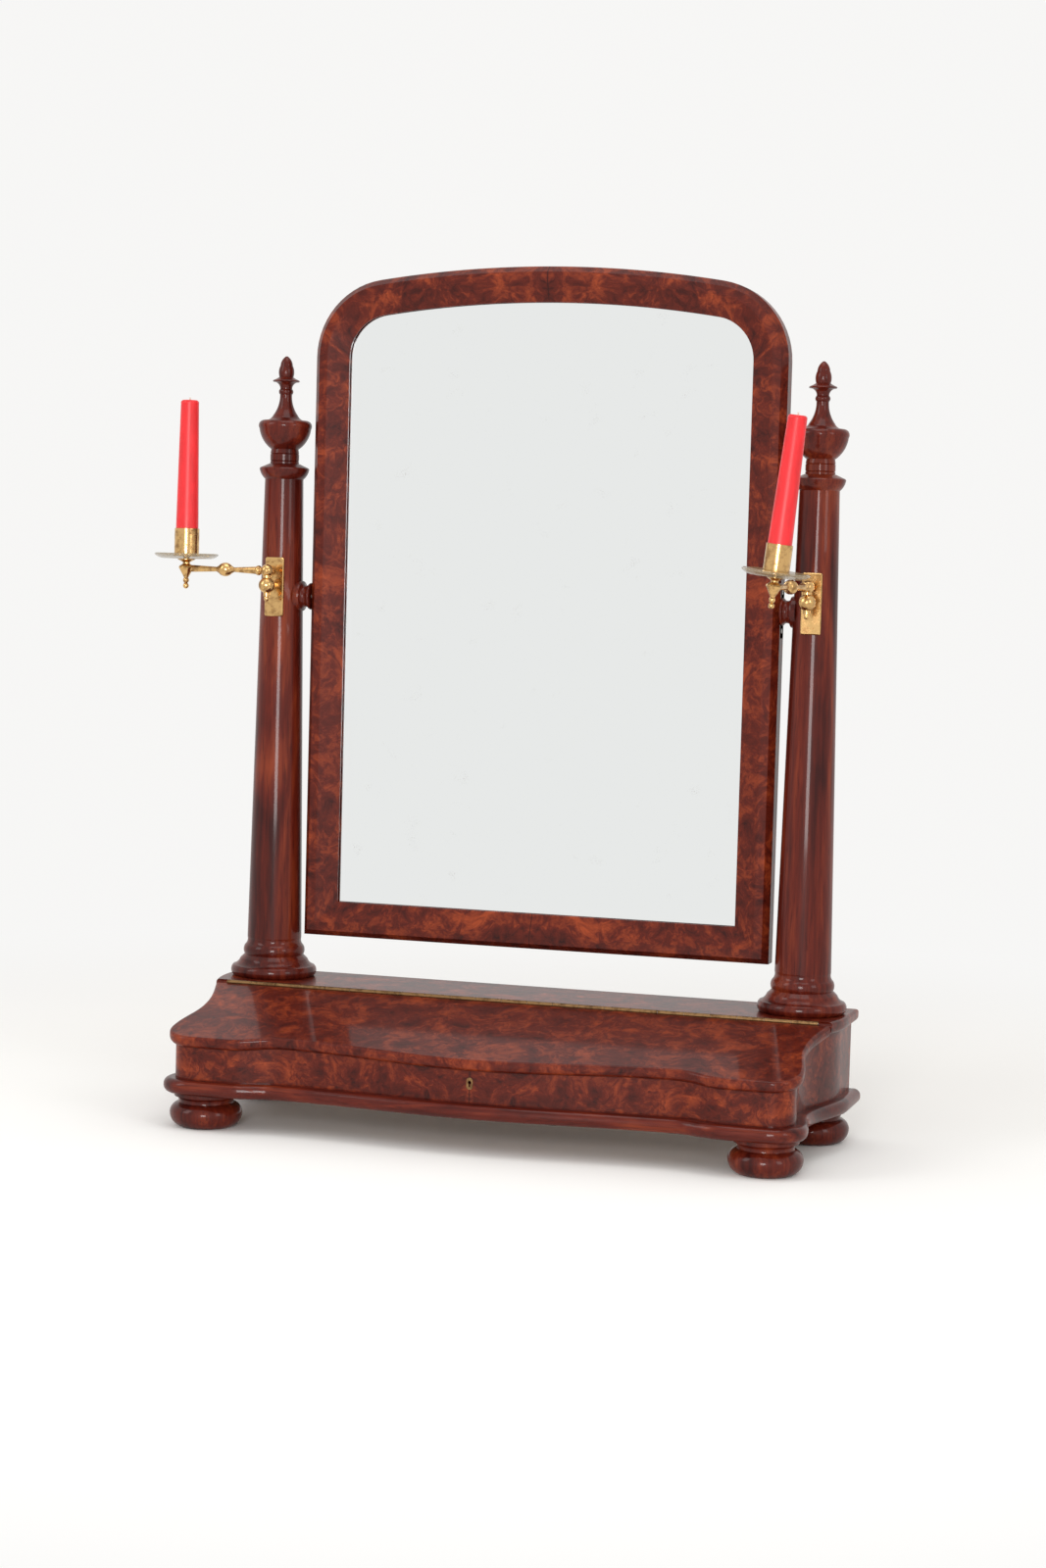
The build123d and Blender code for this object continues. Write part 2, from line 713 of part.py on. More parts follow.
def box_screws():
    screws = [countersunk_screw(*hinge_screw(x, 1)) for x in hinge_screw_places()]
    screws += [countersunk_screw(*lock_screw(x)) for x in lock_screw_places()]
    return Compound(children=screws)


def escutcheon_blank(grow=0.0):
    """The oval brass plate let into the front, standing a little proud."""
    outline = SlotOverall(ESCUTCHEON_HEIGHT + 2 * grow, ESCUTCHEON_WIDTH + 2 * grow, rotation=90)
    face_y = BOX_FRONT_Y - ESCUTCHEON_PROUD
    plate = extrude(outline, ESCUTCHEON_THICKNESS)
    return Plane(origin=(0, face_y, KEYHOLE_HEIGHT - KEYHOLE_DROP / 4), x_dir=(1, 0, 0), z_dir=(0, 1, 0)) * plate


def escutcheon():
    plate = escutcheon_blank()
    front = BOX_FRONT_Y - ESCUTCHEON_PROUD - 1
    back = BOX_FRONT_Y + ESCUTCHEON_THICKNESS + 1
    plate -= rod((0, front, KEYHOLE_HEIGHT), (0, back, KEYHOLE_HEIGHT), KEYHOLE_DIA)
    half = KEYHOLE_SLOT / 2
    plate -= box_between(-half, half, front, back, KEYHOLE_HEIGHT - KEYHOLE_DROP, KEYHOLE_HEIGHT)
    return plate


def foot_places():
    x_front = BOX_HALF_FRONT - FOOT_INSET_X
    x_back = BOX_HALF_REAR - FOOT_INSET_X
    y_front = BOX_FRONT_Y + BLOCK_SETBACK + FOOT_INSET_FRONT
    y_back = BOX_BACK_Y - FOOT_INSET_BACK
    return {
        "front_left": (-x_front, y_front),
        "front_right": (x_front, y_front),
        "back_left": (-x_back, y_back),
        "back_right": (x_back, y_back),
    }


def foot(place):
    top, neck, bun, sole = FOOT_TOP_DIA / 2, FOOT_NECK_DIA / 2, FOOT_BUN_DIA / 2, FOOT_SOLE_DIA / 2
    rise = FOOT_HEIGHT
    shape = turned(
        (sole, 0),
        (bun * 0.93, FOOT_BUN_RISE * 0.4, bun, FOOT_BUN_RISE),
        (bun * 0.93, FOOT_BUN_RISE + (FOOT_NECK_RISE - FOOT_BUN_RISE) * 0.6, neck, FOOT_NECK_RISE),
        (neck * 1.02, FOOT_NECK_RISE + 4, top, rise - FOOT_COLLAR),
        (top, rise),
    )
    return Pos(*place, 0) * (shape - foot_dowel((0, 0), DOWEL_CLEARANCE))


def foot_dowel(place, grow=0.0):
    low = FOOT_HEIGHT - FOOT_DOWEL_LENGTH / 2 - grow
    high = FOOT_HEIGHT + FOOT_DOWEL_LENGTH / 2 + grow
    return rod((*place, low), (*place, high), FOOT_DOWEL_DIA + 2 * grow)


def dowels():
    pegs = [foot_dowel(place) for place in foot_places().values()]
    pegs += [column_dowel(side) for side in (-1, 1)]
    return Compound(children=pegs)


def column_blank():
    ring, bead, torus = CAP_RING_DIA / 2, BEAD_DIA / 2, TORUS_DIA / 2
    bottom = COLUMN_BOTTOM_DIA / 2
    middle = (BEAD_TOP + BEAD_BOTTOM) / 2
    quirk = bead - BEAD_QUIRK
    return turned(
        (TORUS_SOLE_DIA / 2, 0),
        (torus, TORUS_HEIGHT * 0.42, torus - 2, TORUS_HEIGHT * 0.8),
        (OGEE_DIA / 2 + 2.5, TORUS_HEIGHT, OGEE_DIA / 2, OGEE_RISE),
        (quirk, BEAD_BOTTOM),
        (bead, middle, quirk, BEAD_TOP),
        (bottom + 1, BEAD_TOP + 1.5, bottom, SHAFT_BOTTOM),
        (COLUMN_TOP_DIA / 2, SHAFT_TOP),
        (ring - 2.2, SHAFT_TOP + 4, ring, SHAFT_TOP + CAP_RING_EDGE),
        (ring - 0.8, SHAFT_TOP + CAP_RING_EDGE + 1.2),
        (FINIAL_NECK_DIA / 2 + CAP_LEDGE, COLUMN_TOP),
    )


def plate_front(height):
    """How far in front of the column's axis the sconce plate's seat lies."""
    return shaft_radius(height) - PLATE_SEAT_DEPTH


def column(side):
    """One column, with its dowel holes, pivot hole and the flat that seats the candle plate."""
    shape = column_blank()
    shape -= Pos(0, 0, COLUMN_TOP - FINIAL_SPIGOT_LENGTH - DOWEL_CLEARANCE) * Cylinder(
        FINIAL_SPIGOT_DIA / 2 + DOWEL_CLEARANCE, FAR, align=(Align.CENTER, Align.CENTER, Align.MIN)
    )
    half = PLATE_HEIGHT / 2 + DOWEL_CLEARANCE
    shape -= box_between(
        -PLATE_WIDTH, PLATE_WIDTH, -FAR, -plate_front(SCONCE_HEIGHT), SCONCE_HEIGHT - half, SCONCE_HEIGHT + half
    )
    shape = Pos(COLUMN_X * side, COLUMN_Y, BOARD_TOP) * shape
    shape -= column_dowel_hole(side)
    shape -= pivot_pin(side, DOWEL_CLEARANCE)
    for z in plate_screw_heights():
        shape -= plate_screw_at(side, z, screw_hole)
    return shape


def finial(side):
    disc, acorn = DISC_DIA / 2, ACORN_DIA / 2
    neck = FINIAL_NECK_DIA / 2
    groove = FINIAL_GROOVE_WIDTH
    low_groove, high_groove = 2.0, FINIAL_NECK_HEIGHT - 3.0
    disc_top = DISC_RISE + DISC_HEIGHT
    shape = turned(
        (neck, 0),
        (neck, low_groove),
        (neck - FINIAL_GROOVE_DEPTH, low_groove + groove / 2),
        (neck, low_groove + groove),
        (neck, high_groove),
        (neck - FINIAL_GROOVE_DEPTH, high_groove + groove / 2),
        (neck, high_groove + groove),
        (BOWL_FOOT_DIA / 2, BOWL_FOOT_RISE),
        (BOWL_DIA / 2 - 4, (BOWL_FOOT_RISE + BOWL_WIDE_RISE) / 2 - 0.5, BOWL_DIA / 2 - 0.6, BOWL_WIDE_RISE),
        (BOWL_DIA / 2, (BOWL_WIDE_RISE + BOWL_TOP_RISE) / 2, BOWL_TOP_DIA / 2, BOWL_TOP_RISE),
        (STEM_ROOT_DIA / 2 + 2.6, STEM_ROOT_RISE - 3.2, STEM_ROOT_DIA / 2, STEM_ROOT_RISE),
        (STEM_DIA / 2 + 1, (STEM_ROOT_RISE + STEM_RISE) / 2 + 1, STEM_DIA / 2, STEM_RISE),
        (STEM_TOP_DIA / 2, (STEM_RISE + DISC_RISE) / 2 - 2.5, STEM_DIA / 2, (STEM_RISE + DISC_RISE) / 2),
        (STEM_DIA / 2 + 1.6, DISC_RISE - 1, disc - 0.8, DISC_RISE + 1.2),
        (disc, DISC_RISE + 2),
        (disc - 0.8, DISC_RISE + 3),
        (ACORN_FOOT_DIA / 2 + 1.8, disc_top - 1.2, ACORN_FOOT_DIA / 2, disc_top),
        (acorn, disc_top + 4, acorn * 0.8, disc_top + 11),
        (acorn * 0.45, FINIAL_HEIGHT - 2.2, ACORN_TIP_DIA / 2, FINIAL_HEIGHT),
    )
    shape += Pos(0, 0, -FINIAL_SPIGOT_LENGTH) * Cylinder(
        FINIAL_SPIGOT_DIA / 2, FINIAL_SPIGOT_LENGTH + 1, align=(Align.CENTER, Align.CENTER, Align.MIN)
    )
    return Pos(COLUMN_X * side, COLUMN_Y, BOARD_TOP + COLUMN_TOP) * shape


def frame_outline(shrink):
    """The arched outline of the mirror frame in X and Z, drawn in from its outer edge."""
    half = FRAME_HALF_WIDTH - shrink
    shoulder = SHOULDER_RADIUS - shrink
    crown = CROWN_RADIUS - shrink
    crown_z = FRAME_TOP - CROWN_RADIUS
    shoulder_x = FRAME_HALF_WIDTH - SHOULDER_RADIUS
    shoulder_z = crown_z + math.sqrt((CROWN_RADIUS - SHOULDER_RADIUS) ** 2 - shoulder_x**2)
    bottom = FRAME_BOTTOM + shrink
    lean = math.asin(shoulder_x / (CROWN_RADIUS - SHOULDER_RADIUS))
    join = (shoulder_x + shoulder * math.sin(lean), shoulder_z + shoulder * math.cos(lean))
    mid_angle = (lean + math.pi / 2) / 2
    mid = (shoulder_x + shoulder * math.sin(mid_angle), shoulder_z + shoulder * math.cos(mid_angle))
    right = [
        Line((0, bottom), (half, bottom)),
        Line((half, bottom), (half, shoulder_z)),
        ThreePointArc((half, shoulder_z), mid, join),
    ]
    left = [mirror(edge, Plane.YZ) for edge in right]
    top = ThreePointArc(join, (0, crown_z + crown), (-join[0], join[1]))
    return right + [top] + left


def spring_height():
    crown_z = FRAME_TOP - CROWN_RADIUS
    shoulder_x = FRAME_HALF_WIDTH - SHOULDER_RADIUS
    return crown_z + math.sqrt((CROWN_RADIUS - SHOULDER_RADIUS) ** 2 - shoulder_x**2)


def upright(shape):
    """Stand a flat XY shape up so that its Y becomes Z, over the rear board and on the pivots' plane."""
    return Pos(0, COLUMN_Y, BOARD_TOP) * Rot(90, 0, 0) * shape


def frame_face(shrink):
    return make_face(frame_outline(shrink))


def frame_layer(shrink_front, front, shrink_back, back):
    """The solid between two outlines at two depths; front and back count towards the viewer."""
    near = Pos(0, 0, front) * frame_face(shrink_front)
    far = Pos(0, 0, back) * frame_face(shrink_back)
    return Solid.make_loft([far.face().outer_wire(), near.face().outer_wire()], ruled=True)


def frame_block():
    """The whole moulded frame, before it is cut into its rails and stiles."""
    ridge, sight = FRAME_RIDGE_FROM_EDGE, FRAME_FACE
    body = Pos(0, 0, -FRAME_BACK) * extrude(frame_face(0), FRAME_BACK + FRAME_EDGE_FRONT)
    body += frame_layer(ridge, FRAME_RIDGE_FRONT, 0, FRAME_EDGE_FRONT)
    body -= frame_layer(ridge + FRAME_STRIP, FRAME_RIDGE_FRONT, sight, FRAME_SIGHT_FRONT)
    body -= Pos(0, 0, -FAR / 2) * extrude(frame_face(sight), FAR)
    body -= Pos(0, 0, -FAR) * extrude(frame_face(sight - REBATE_WIDTH), FAR - REBATE_FRONT)
    return body


def frame_cutters():
    """Regions that part the frame: bottom rail, stiles, shoulders and crown."""
    inner = FRAME_HALF_WIDTH - FRAME_FACE
    low = FRAME_BOTTOM + FRAME_FACE
    spring = spring_height()
    shoulder_x = FRAME_HALF_WIDTH - SHOULDER_RADIUS
    rail = Polyline(
        (-inner, low), (-inner - FAR, low - FAR), (inner + FAR, low - FAR), (inner, low), close=True
    )
    stile = Polyline(
        (inner, low), (inner + FAR, low - FAR), (inner + FAR, spring), (0, spring), (0, low), close=True
    )
    shoulder = Polyline(
        (shoulder_x, spring), (FAR, spring), (FAR, FAR + spring), (shoulder_x, FAR + spring), close=True
    )
    crown = Polyline(
        (-shoulder_x, spring), (shoulder_x, spring), (shoulder_x, FAR), (-shoulder_x, FAR), close=True
    )
    return {
        name: Pos(0, 0, -FAR / 2) * extrude(make_face(outline), FAR)
        for name, outline in (("rail", rail), ("stile", stile), ("shoulder", shoulder), ("crown", crown))
    }


def pivot_pocket(side):
    """The socket in the stile for the pivot pin, its plate and the plate's screws."""
    return pivot_plate_blank(side, DOWEL_CLEARANCE) + pivot_pin(side, PIVOT_CLEARANCE + DOWEL_CLEARANCE)


def frame_pieces():
    block = frame_block()
    cut = frame_cutters()
    flip = Plane.YZ
    right_stile = block & cut["stile"]
    right_shoulder = block & cut["shoulder"]
    pieces = {
        "bottom_rail": block & cut["rail"],
        "stile_right": right_stile,
        "stile_left": mirror(right_stile, flip),
        "arch_right": right_shoulder,
        "arch_left": mirror(right_shoulder, flip),
        "arch_crown": block & cut["crown"],
    }
    pieces = {name: upright(piece) for name, piece in pieces.items()}
    for side, name in ((-1, "stile_left"), (1, "stile_right")):
        pieces[name] -= pivot_pocket(side)
        for z in pivot_plate_screw_heights():
            pieces[name] -= pivot_plate_screw(side, z, screw_hole)
    for name in pieces:
        for place in backboard_screw_places():
            pieces[name] -= backboard_screw(place, screw_hole)
    return pieces


def mirror_glass():
    margin = FRAME_FACE - REBATE_WIDTH + GLASS_MARGIN
    plate = Pos(0, 0, -REBATE_FRONT - GLASS_THICKNESS) * extrude(frame_face(margin), GLASS_THICKNESS)
    return upright(plate)


def glass_packing():
    """Strips glued in the rebate behind the glass, flush with the frame's back."""
    outer = FRAME_FACE - REBATE_WIDTH + DOWEL_CLEARANCE
    front = REBATE_FRONT + GLASS_THICKNESS
    strip = extrude(frame_face(outer), FRAME_BACK - front)
    strip -= Pos(0, 0, -1) * extrude(frame_face(outer + PACKING_WIDTH), FRAME_BACK)
    return upright(Pos(0, 0, -FRAME_BACK) * strip)


def backboard():
    """A thin board screwed over the back of the frame."""
    margin = FRAME_FACE - REBATE_WIDTH - BACKBOARD_LAP
    back = -FRAME_BACK - BACKBOARD_THICKNESS
    board = upright(Pos(0, 0, back) * extrude(frame_face(margin), BACKBOARD_THICKNESS))
    for place in backboard_screw_places():
        board -= backboard_screw(place, screw_hole)
    return board


def backboard_screw_places():
    """Screw places along the board's edge, at an even pitch on the straight sides and the crown."""
    half = FRAME_HALF_WIDTH - FRAME_FACE + REBATE_WIDTH + BACKBOARD_LAP / 2
    low = FRAME_BOTTOM + FRAME_FACE - REBATE_WIDTH - BACKBOARD_LAP / 2
    high = FRAME_TOP - FRAME_FACE + REBATE_WIDTH + BACKBOARD_LAP / 2
    spring = spring_height()
    rows = int((spring - low) // MIRROR_SCREW_PITCH)
    step = (spring - low) / (rows + 1)
    places = []
    for side in (-1, 1):
        places += [(side * half, low + step * (index + 0.5)) for index in range(rows + 1)]
        places.append((side * MIRROR_SCREW_PITCH, low))
    return places + [(0, low), (0, high)]


def backboard_screw(place, make):
    x, z = place
    point = (x, COLUMN_Y + FRAME_BACK + BACKBOARD_THICKNESS, BOARD_TOP + z)
    return make(point, (0, -1, 0), BACKBOARD_SCREW_DIA, BACKBOARD_SCREW_HEAD, BACKBOARD_SCREW_LENGTH)


def pivot_pin(side, grow=0.0):
    column_face = COLUMN_X - shaft_radius(PIVOT_HEIGHT)
    outer = (column_face + PIVOT_PIN_IN_COLUMN + grow) * side
    inner = (FRAME_HALF_WIDTH - PIVOT_PIN_IN_FRAME - grow) * side
    return rod((outer, COLUMN_Y, PIVOT_Z), (inner, COLUMN_Y, PIVOT_Z), PIVOT_PIN_DIA + 2 * grow)


def pivot_boss(side):
    """The turned wooden collar between column and frame, hollowed to sit on the round shaft."""
    start = FRAME_HALF_WIDTH + BOSS_FRAME_GAP
    face = COLUMN_X - shaft_radius(PIVOT_HEIGHT)
    run = face - start
    seat = 4.0
    shape = turned(
        (BOSS_FACE_DIA / 2 - 1.2, 0),
        (BOSS_FACE_DIA / 2, run * 0.12, BOSS_FACE_DIA / 2 - 1.2, run * 0.25),
        (BOSS_WAIST_DIA / 2, run * 0.5, BOSS_DIA / 2 - 0.6, run * 0.86),
        (BOSS_DIA / 2, run),
        (BOSS_DIA / 2, run + seat),
    )
    shape = Plane(origin=(start * side, COLUMN_Y, PIVOT_Z), z_dir=(side, 0, 0)) * shape
    shape -= Pos(COLUMN_X * side, COLUMN_Y, BOARD_TOP) * column_blank()
    return shape - pivot_pin(side, DOWEL_CLEARANCE)


def pivot_plate_blank(side, grow=0.0):
    outer = FRAME_HALF_WIDTH
    plate = box_between(
        (outer - PIVOT_PLATE_THICKNESS - grow) * side, (outer + 2 * grow) * side,
        COLUMN_Y - PIVOT_PLATE_WIDTH / 2 + FRAME_BACK / 2 - grow - 1,
        COLUMN_Y + PIVOT_PLATE_WIDTH / 2 + FRAME_BACK / 2 + grow - 1,
        PIVOT_Z - PIVOT_PLATE_HEIGHT / 2 - grow, PIVOT_Z + PIVOT_PLATE_HEIGHT / 2 + grow
    )
    return plate


def pivot_plate_screw_heights():
    return [PIVOT_Z + step * PIVOT_PLATE_SCREW_AT for step in (-1, 1)]


def pivot_plate_screw(side, z, make):
    point = (FRAME_HALF_WIDTH * side, COLUMN_Y + FRAME_BACK / 2 - 1, z)
    return make(point, (-side, 0, 0), SMALL_SCREW_DIA, SMALL_SCREW_HEAD, SMALL_SCREW_LENGTH)


def pivot_plates():
    plates = []
    for side in (-1, 1):
        plate = pivot_plate_blank(side) - pivot_pin(side, PIVOT_CLEARANCE)
        for z in pivot_plate_screw_heights():
            plate -= pivot_plate_screw(side, z, screw_hole)
        plates.append(plate)
    return Compound(children=plates)


def mirror_screws():
    screws = [backboard_screw(place, countersunk_screw) for place in backboard_screw_places()]
    for side in (-1, 1):
        screws += [pivot_plate_screw(side, z, countersunk_screw) for z in pivot_plate_screw_heights()]
    return Compound(children=screws)


def plate_screw_heights():
    return [SCONCE_HEIGHT + step * PLATE_SCREW_AT for step in (-1, 1)]


def plate_screw_at(side, height, make):
    front = plate_front(SCONCE_HEIGHT) + PLATE_THICKNESS
    point = (COLUMN_X * side, COLUMN_Y - front, BOARD_TOP + height)
    return make(point, (0, 1, 0), PLATE_SCREW_DIA, PLATE_SCREW_HEAD, PLATE_SCREW_LENGTH)


def plate_screws():
    return Compound(
        children=[plate_screw_at(side, z, countersunk_screw) for side in (-1, 1) for z in plate_screw_heights()]
    )


def swing_axis(side):
    """Where a candle arm's upright swing axis stands."""
    out = plate_front(SCONCE_HEIGHT) + PLATE_THICKNESS + SWING_AXIS_OUT
    return COLUMN_X * side, COLUMN_Y - out


def bracket_ball_z():
    return BOARD_TOP + SCONCE_HEIGHT + BRACKET_BALL_RISE


def bracket_top():
    """The small flat on the bracket's ball that the arm turns on."""
    return bracket_ball_z() + BRACKET_BALL_DIA / 2 - BRACKET_FLAT


def bracket_bottom():
    return bracket_ball_z() - BRACKET_BALL_DIA / 2 - BRACKET_TAIL_LENGTH


def arm_z():
    return BOARD_TOP + SCONCE_HEIGHT + ARM_RISE


def sconce_plate(side):
    """The back plate with its stub, ball and tail, bored for the arm's swing pin."""
    seat = plate_front(SCONCE_HEIGHT)
    centre_z = BOARD_TOP + SCONCE_HEIGHT
    outline = RectangleRounded(PLATE_WIDTH, PLATE_HEIGHT, PLATE_CORNER)
    plate = extrude(outline, PLATE_THICKNESS)
    plate = chamfer(plate.faces().sort_by(Axis.Z)[-1].edges(), PLATE_BEVEL)
    plate = Plane(origin=(COLUMN_X * side, COLUMN_Y - seat, centre_z), x_dir=(1, 0, 0), z_dir=(0, -1, 0)) * plate
    x, y = swing_axis(side)
    ball_z = bracket_ball_z()
    plate += rod((x, COLUMN_Y - seat - 0.5, ball_z), (x, y, ball_z), BRACKET_NECK_DIA)
    plate += Pos(x, y, ball_z) * Sphere(BRACKET_BALL_DIA / 2)
    plate += rod((x, y, bracket_bottom()), (x, y, ball_z), BRACKET_TAIL_DIA)
    reach = BRACKET_BALL_DIA
    plate -= box_between(x - reach, x + reach, y - reach / 2, y + reach / 2, bracket_top(), bracket_top() + reach)
    plate -= Pos(x, y, 0) * Cylinder(
        SWING_PIN_DIA / 2 + RUNNING_CLEARANCE, FAR * 2, align=(Align.CENTER, Align.CENTER, Align.CENTER)
    )
    for z in plate_screw_heights():
        plate -= plate_screw_at(side, z, screw_hole)
    return plate


def swung(side, shape):
    """Place a piece drawn along +X from the swing axis: roll it about the arm, then swing it."""
    x, y = swing_axis(side)
    angle = LEFT_SWING if side < 0 else RIGHT_SWING
    return Pos(x, y, arm_z()) * Rot(0, 0, angle) * shape


def rolled(side, shape):
    roll = LEFT_ROLL if side < 0 else RIGHT_ROLL
    return swung(side, Rot(roll, 0, 0) * shape)


def swing_pin(side):
    """The upright pin fixed in the arm's ball, ending in a small turned tip below the bracket."""
    low = bracket_bottom() - SWING_SEAT_GAP - arm_z()
    pin = turned(
        (0, low - SWING_PIN_TIP_LENGTH),
        (SWING_PIN_TIP_DIA / 2, low - SWING_PIN_TIP_LENGTH * 0.55, SWING_PIN_TIP_DIA / 2 - 0.3, low),
        (SWING_PIN_DIA / 2, low),
        (SWING_PIN_DIA / 2, ARM_BALL_DIA / 4),
    )
    return swung(side, pin)


def arm(side):
    """The swinging arm: a turned rod with a knop, a ball at the column and the candle holder's boss."""
    end = ARM_LENGTH
    rod_r, knop = ARM_ROD_DIA / 2, KNOP_DIA / 2
    collar = ARM_COLLAR_DIA / 2
    shape = turned(
        (rod_r, 3),
        (rod_r + 0.8, ARM_COLLAR_AT - 2.5),
        (collar, ARM_COLLAR_AT, rod_r + 1.2, ARM_COLLAR_AT + 2.5),
        (rod_r - 0.2, KNOP_AT - knop - 2.5),
        (rod_r + 1.4, KNOP_AT - knop + 0.4),
        (knop, KNOP_AT, rod_r + 1.4, KNOP_AT + knop - 0.4),
        (rod_r - 0.2, KNOP_AT + knop + 2.5),
        (ARM_END_DIA / 2, end - HOLDER_CUP_DIA * 0.62),
        (ARM_END_DIA / 2, end),
    )
    shape = Rot(0, 90, 0) * shape + Pos(end, 0, 0) * holder_boss()
    under = bracket_top() + SWING_SEAT_GAP - arm_z()
    ball = Sphere(ARM_BALL_DIA / 2) + rod((0, 0, under), (0, 0, 0), ARM_SEAT_DIA)
    ball -= box_between(-FAR, FAR, -FAR, FAR, -FAR, under)
    roll = LEFT_ROLL if side < 0 else RIGHT_ROLL
    pin_hole = rod((0, 0, -ARM_BALL_DIA), (0, 0, ARM_BALL_DIA / 4), SWING_PIN_DIA)
    return swung(side, Rot(roll, 0, 0) * shape + ball - pin_hole)


def holder_boss():
    """The upright turned boss at the arm's end, from the pendant tip to the pan's seat."""
    ball = PENDANT_BALL_DIA / 2
    tip = -PENDANT_DROP
    return turned(
        (0, tip - ball),
        (ball, tip, HOLDER_TAPER_DIA / 2 - 0.6, tip + ball),
        (HOLDER_TAPER_DIA / 2 + 0.9, tip + ball + 2.4, HOLDER_TAPER_DIA / 2, tip + ball + 5),
        (HOLDER_CUP_DIA / 2 - 2.4, -3.4, HOLDER_CUP_DIA / 2, 0.8),
        (HOLDER_CUP_DIA / 2 - 0.6, 2.2),
        (HOLDER_NECK_DIA / 2, 4.4),
        (HOLDER_NECK_DIA / 2, HOLDER_TOP - 2.6),
        (HOLDER_SEAT_DIA / 2, HOLDER_TOP),
        (HOLDER_SEAT_DIA / 2, PAN_RISE - PAN_THICKNESS / 2),
        (HOLDER_SPIGOT_DIA / 2, PAN_RISE - PAN_THICKNESS / 2),
        (HOLDER_SPIGOT_DIA / 2, PAN_RISE + PAN_THICKNESS / 2 + SOCKET_FLOOR - 1),
    )


def drip_pan(side):
    """The clear glass saucer that lies on the holder's seat and catches wax."""
    radius, half = PAN_DIA / 2, PAN_THICKNESS / 2
    inner = HOLDER_SPIGOT_DIA / 2 + PAN_HOLE_CLEARANCE
    rim = PAN_RIM_RISE
    profile = make_face([
        Line((inner, -half), (radius * 0.62, -half)),
        ThreePointArc((radius * 0.62, -half), (radius * 0.86, rim * 0.22 - half), (radius - 0.4, rim - half)),
        ThreePointArc((radius - 0.4, rim - half), (radius, rim), (radius - 1.1, rim + half * 0.8)),
        ThreePointArc((radius - 1.1, rim + half * 0.8), (radius * 0.84, rim * 0.3 + half), (radius * 0.6, half)),
        Line((radius * 0.6, half), (inner, half)),
        Line((inner, half), (inner, -half)),
    ])
    pan = revolve(Plane.XZ * profile, Axis.Z)
    return rolled(side, Pos(ARM_LENGTH, 0, PAN_RISE) * pan)


def socket_base():
    return PAN_RISE + PAN_THICKNESS / 2


def candle_socket(side):
    outer, bore = SOCKET_DIA / 2, SOCKET_DIA / 2 - SOCKET_WALL
    rim = SOCKET_RIM_DIA / 2
    profile = make_face(Polyline(
        (0, SOCKET_FLOOR - 1), (HOLDER_SPIGOT_DIA / 2 + 0.05, SOCKET_FLOOR - 1), (HOLDER_SPIGOT_DIA / 2 + 0.05, 0),
        (rim, 0), (rim, SOCKET_RIM_HEIGHT), (outer, SOCKET_RIM_HEIGHT * 2), (outer, SOCKET_HEIGHT),
        (bore, SOCKET_HEIGHT), (bore, SOCKET_FLOOR), (0, SOCKET_FLOOR), close=True
    ))
    tube = revolve(Plane.XZ * profile, Axis.Z)
    return rolled(side, Pos(ARM_LENGTH, 0, socket_base()) * tube)


def candle_height(side):
    return LEFT_CANDLE_HEIGHT if side < 0 else RIGHT_CANDLE_HEIGHT


def candle(side):
    base = CANDLE_DIA / 2
    top = CANDLE_TOP_DIA / 2
    shoulder = CANDLE_SHOULDER
    height = candle_height(side)
    shape = turned(
        (base, 0),
        (base, SOCKET_HEIGHT),
        (top, height - shoulder),
        (top - shoulder * 0.29, height - shoulder * 0.29, top - shoulder, height),
    )
    hole = Pos(0, 0, height - WICK_BELOW) * Cylinder(
        WICK_DIA / 2, WICK_BELOW + 1, align=(Align.CENTER, Align.CENTER, Align.MIN)
    )
    return rolled(side, Pos(ARM_LENGTH, 0, socket_base() + SOCKET_FLOOR) * (shape - hole))


def wick(side):
    low = candle_height(side) - WICK_BELOW
    length = WICK_BELOW + WICK_ABOVE
    thread = Pos(0, 0, low) * Cylinder(WICK_DIA / 2, length, align=(Align.CENTER, Align.CENTER, Align.MIN))
    return rolled(side, Pos(ARM_LENGTH, 0, socket_base() + SOCKET_FLOOR) * thread)


def box_parts():
    parts = {f"foot_{name}": foot(place) for name, place in foot_places().items()}
    parts["dowels"] = dowels()
    parts["bottom_board"] = bottom_board()
    parts["moulding_front"] = moulding_front()
    parts["moulding_left"] = moulding_side(-1)
    parts["moulding_right"] = moulding_side(1)
    for name in ("moulding_front", "moulding_left", "moulding_right", "bottom_board"):
        for place in foot_places().values():
            parts[name] -= foot_dowel(place, DOWEL_CLEARANCE)
    parts["carcass_front"] = carcass_front()
    parts["carcass_left"] = carcass_side(-1)
    parts["carcass_right"] = carcass_side(1)
    parts["carcass_back"] = carcass_back()
    parts["partition"] = partition()
    parts["compartment_lining"] = compartment_lining()
    parts["column_blocks"] = column_blocks()
    parts["rear_board"] = rear_board()
    for name in ("rear_board", "partition"):
        for x in hinge_screw_places():
            parts[name] -= screw_hole(*hinge_screw(x, 1))
    for x in lock_screw_places():
        parts["carcass_front"] -= screw_hole(*lock_screw(x))
    parts["box_screws"] = box_screws()
    parts["lock_case"] = lock_case()
    parts["lock_bolt"] = lock_bolt()
    parts["escutcheon"] = escutcheon()
    return parts


def lid_parts():
    panel = lid()
    for x in hinge_screw_places():
        panel -= screw_hole(*hinge_screw(x, -1))
    return {
        "lid": panel,
        "lid_screws": lid_screws(),
        "strike_plate": strike_plate(),
        "hinge_leaf_lid": hinge_leaf(-1),
        "hinge_leaf_board": hinge_leaf(1),
        "hinge_pin": hinge_pin(),
    }


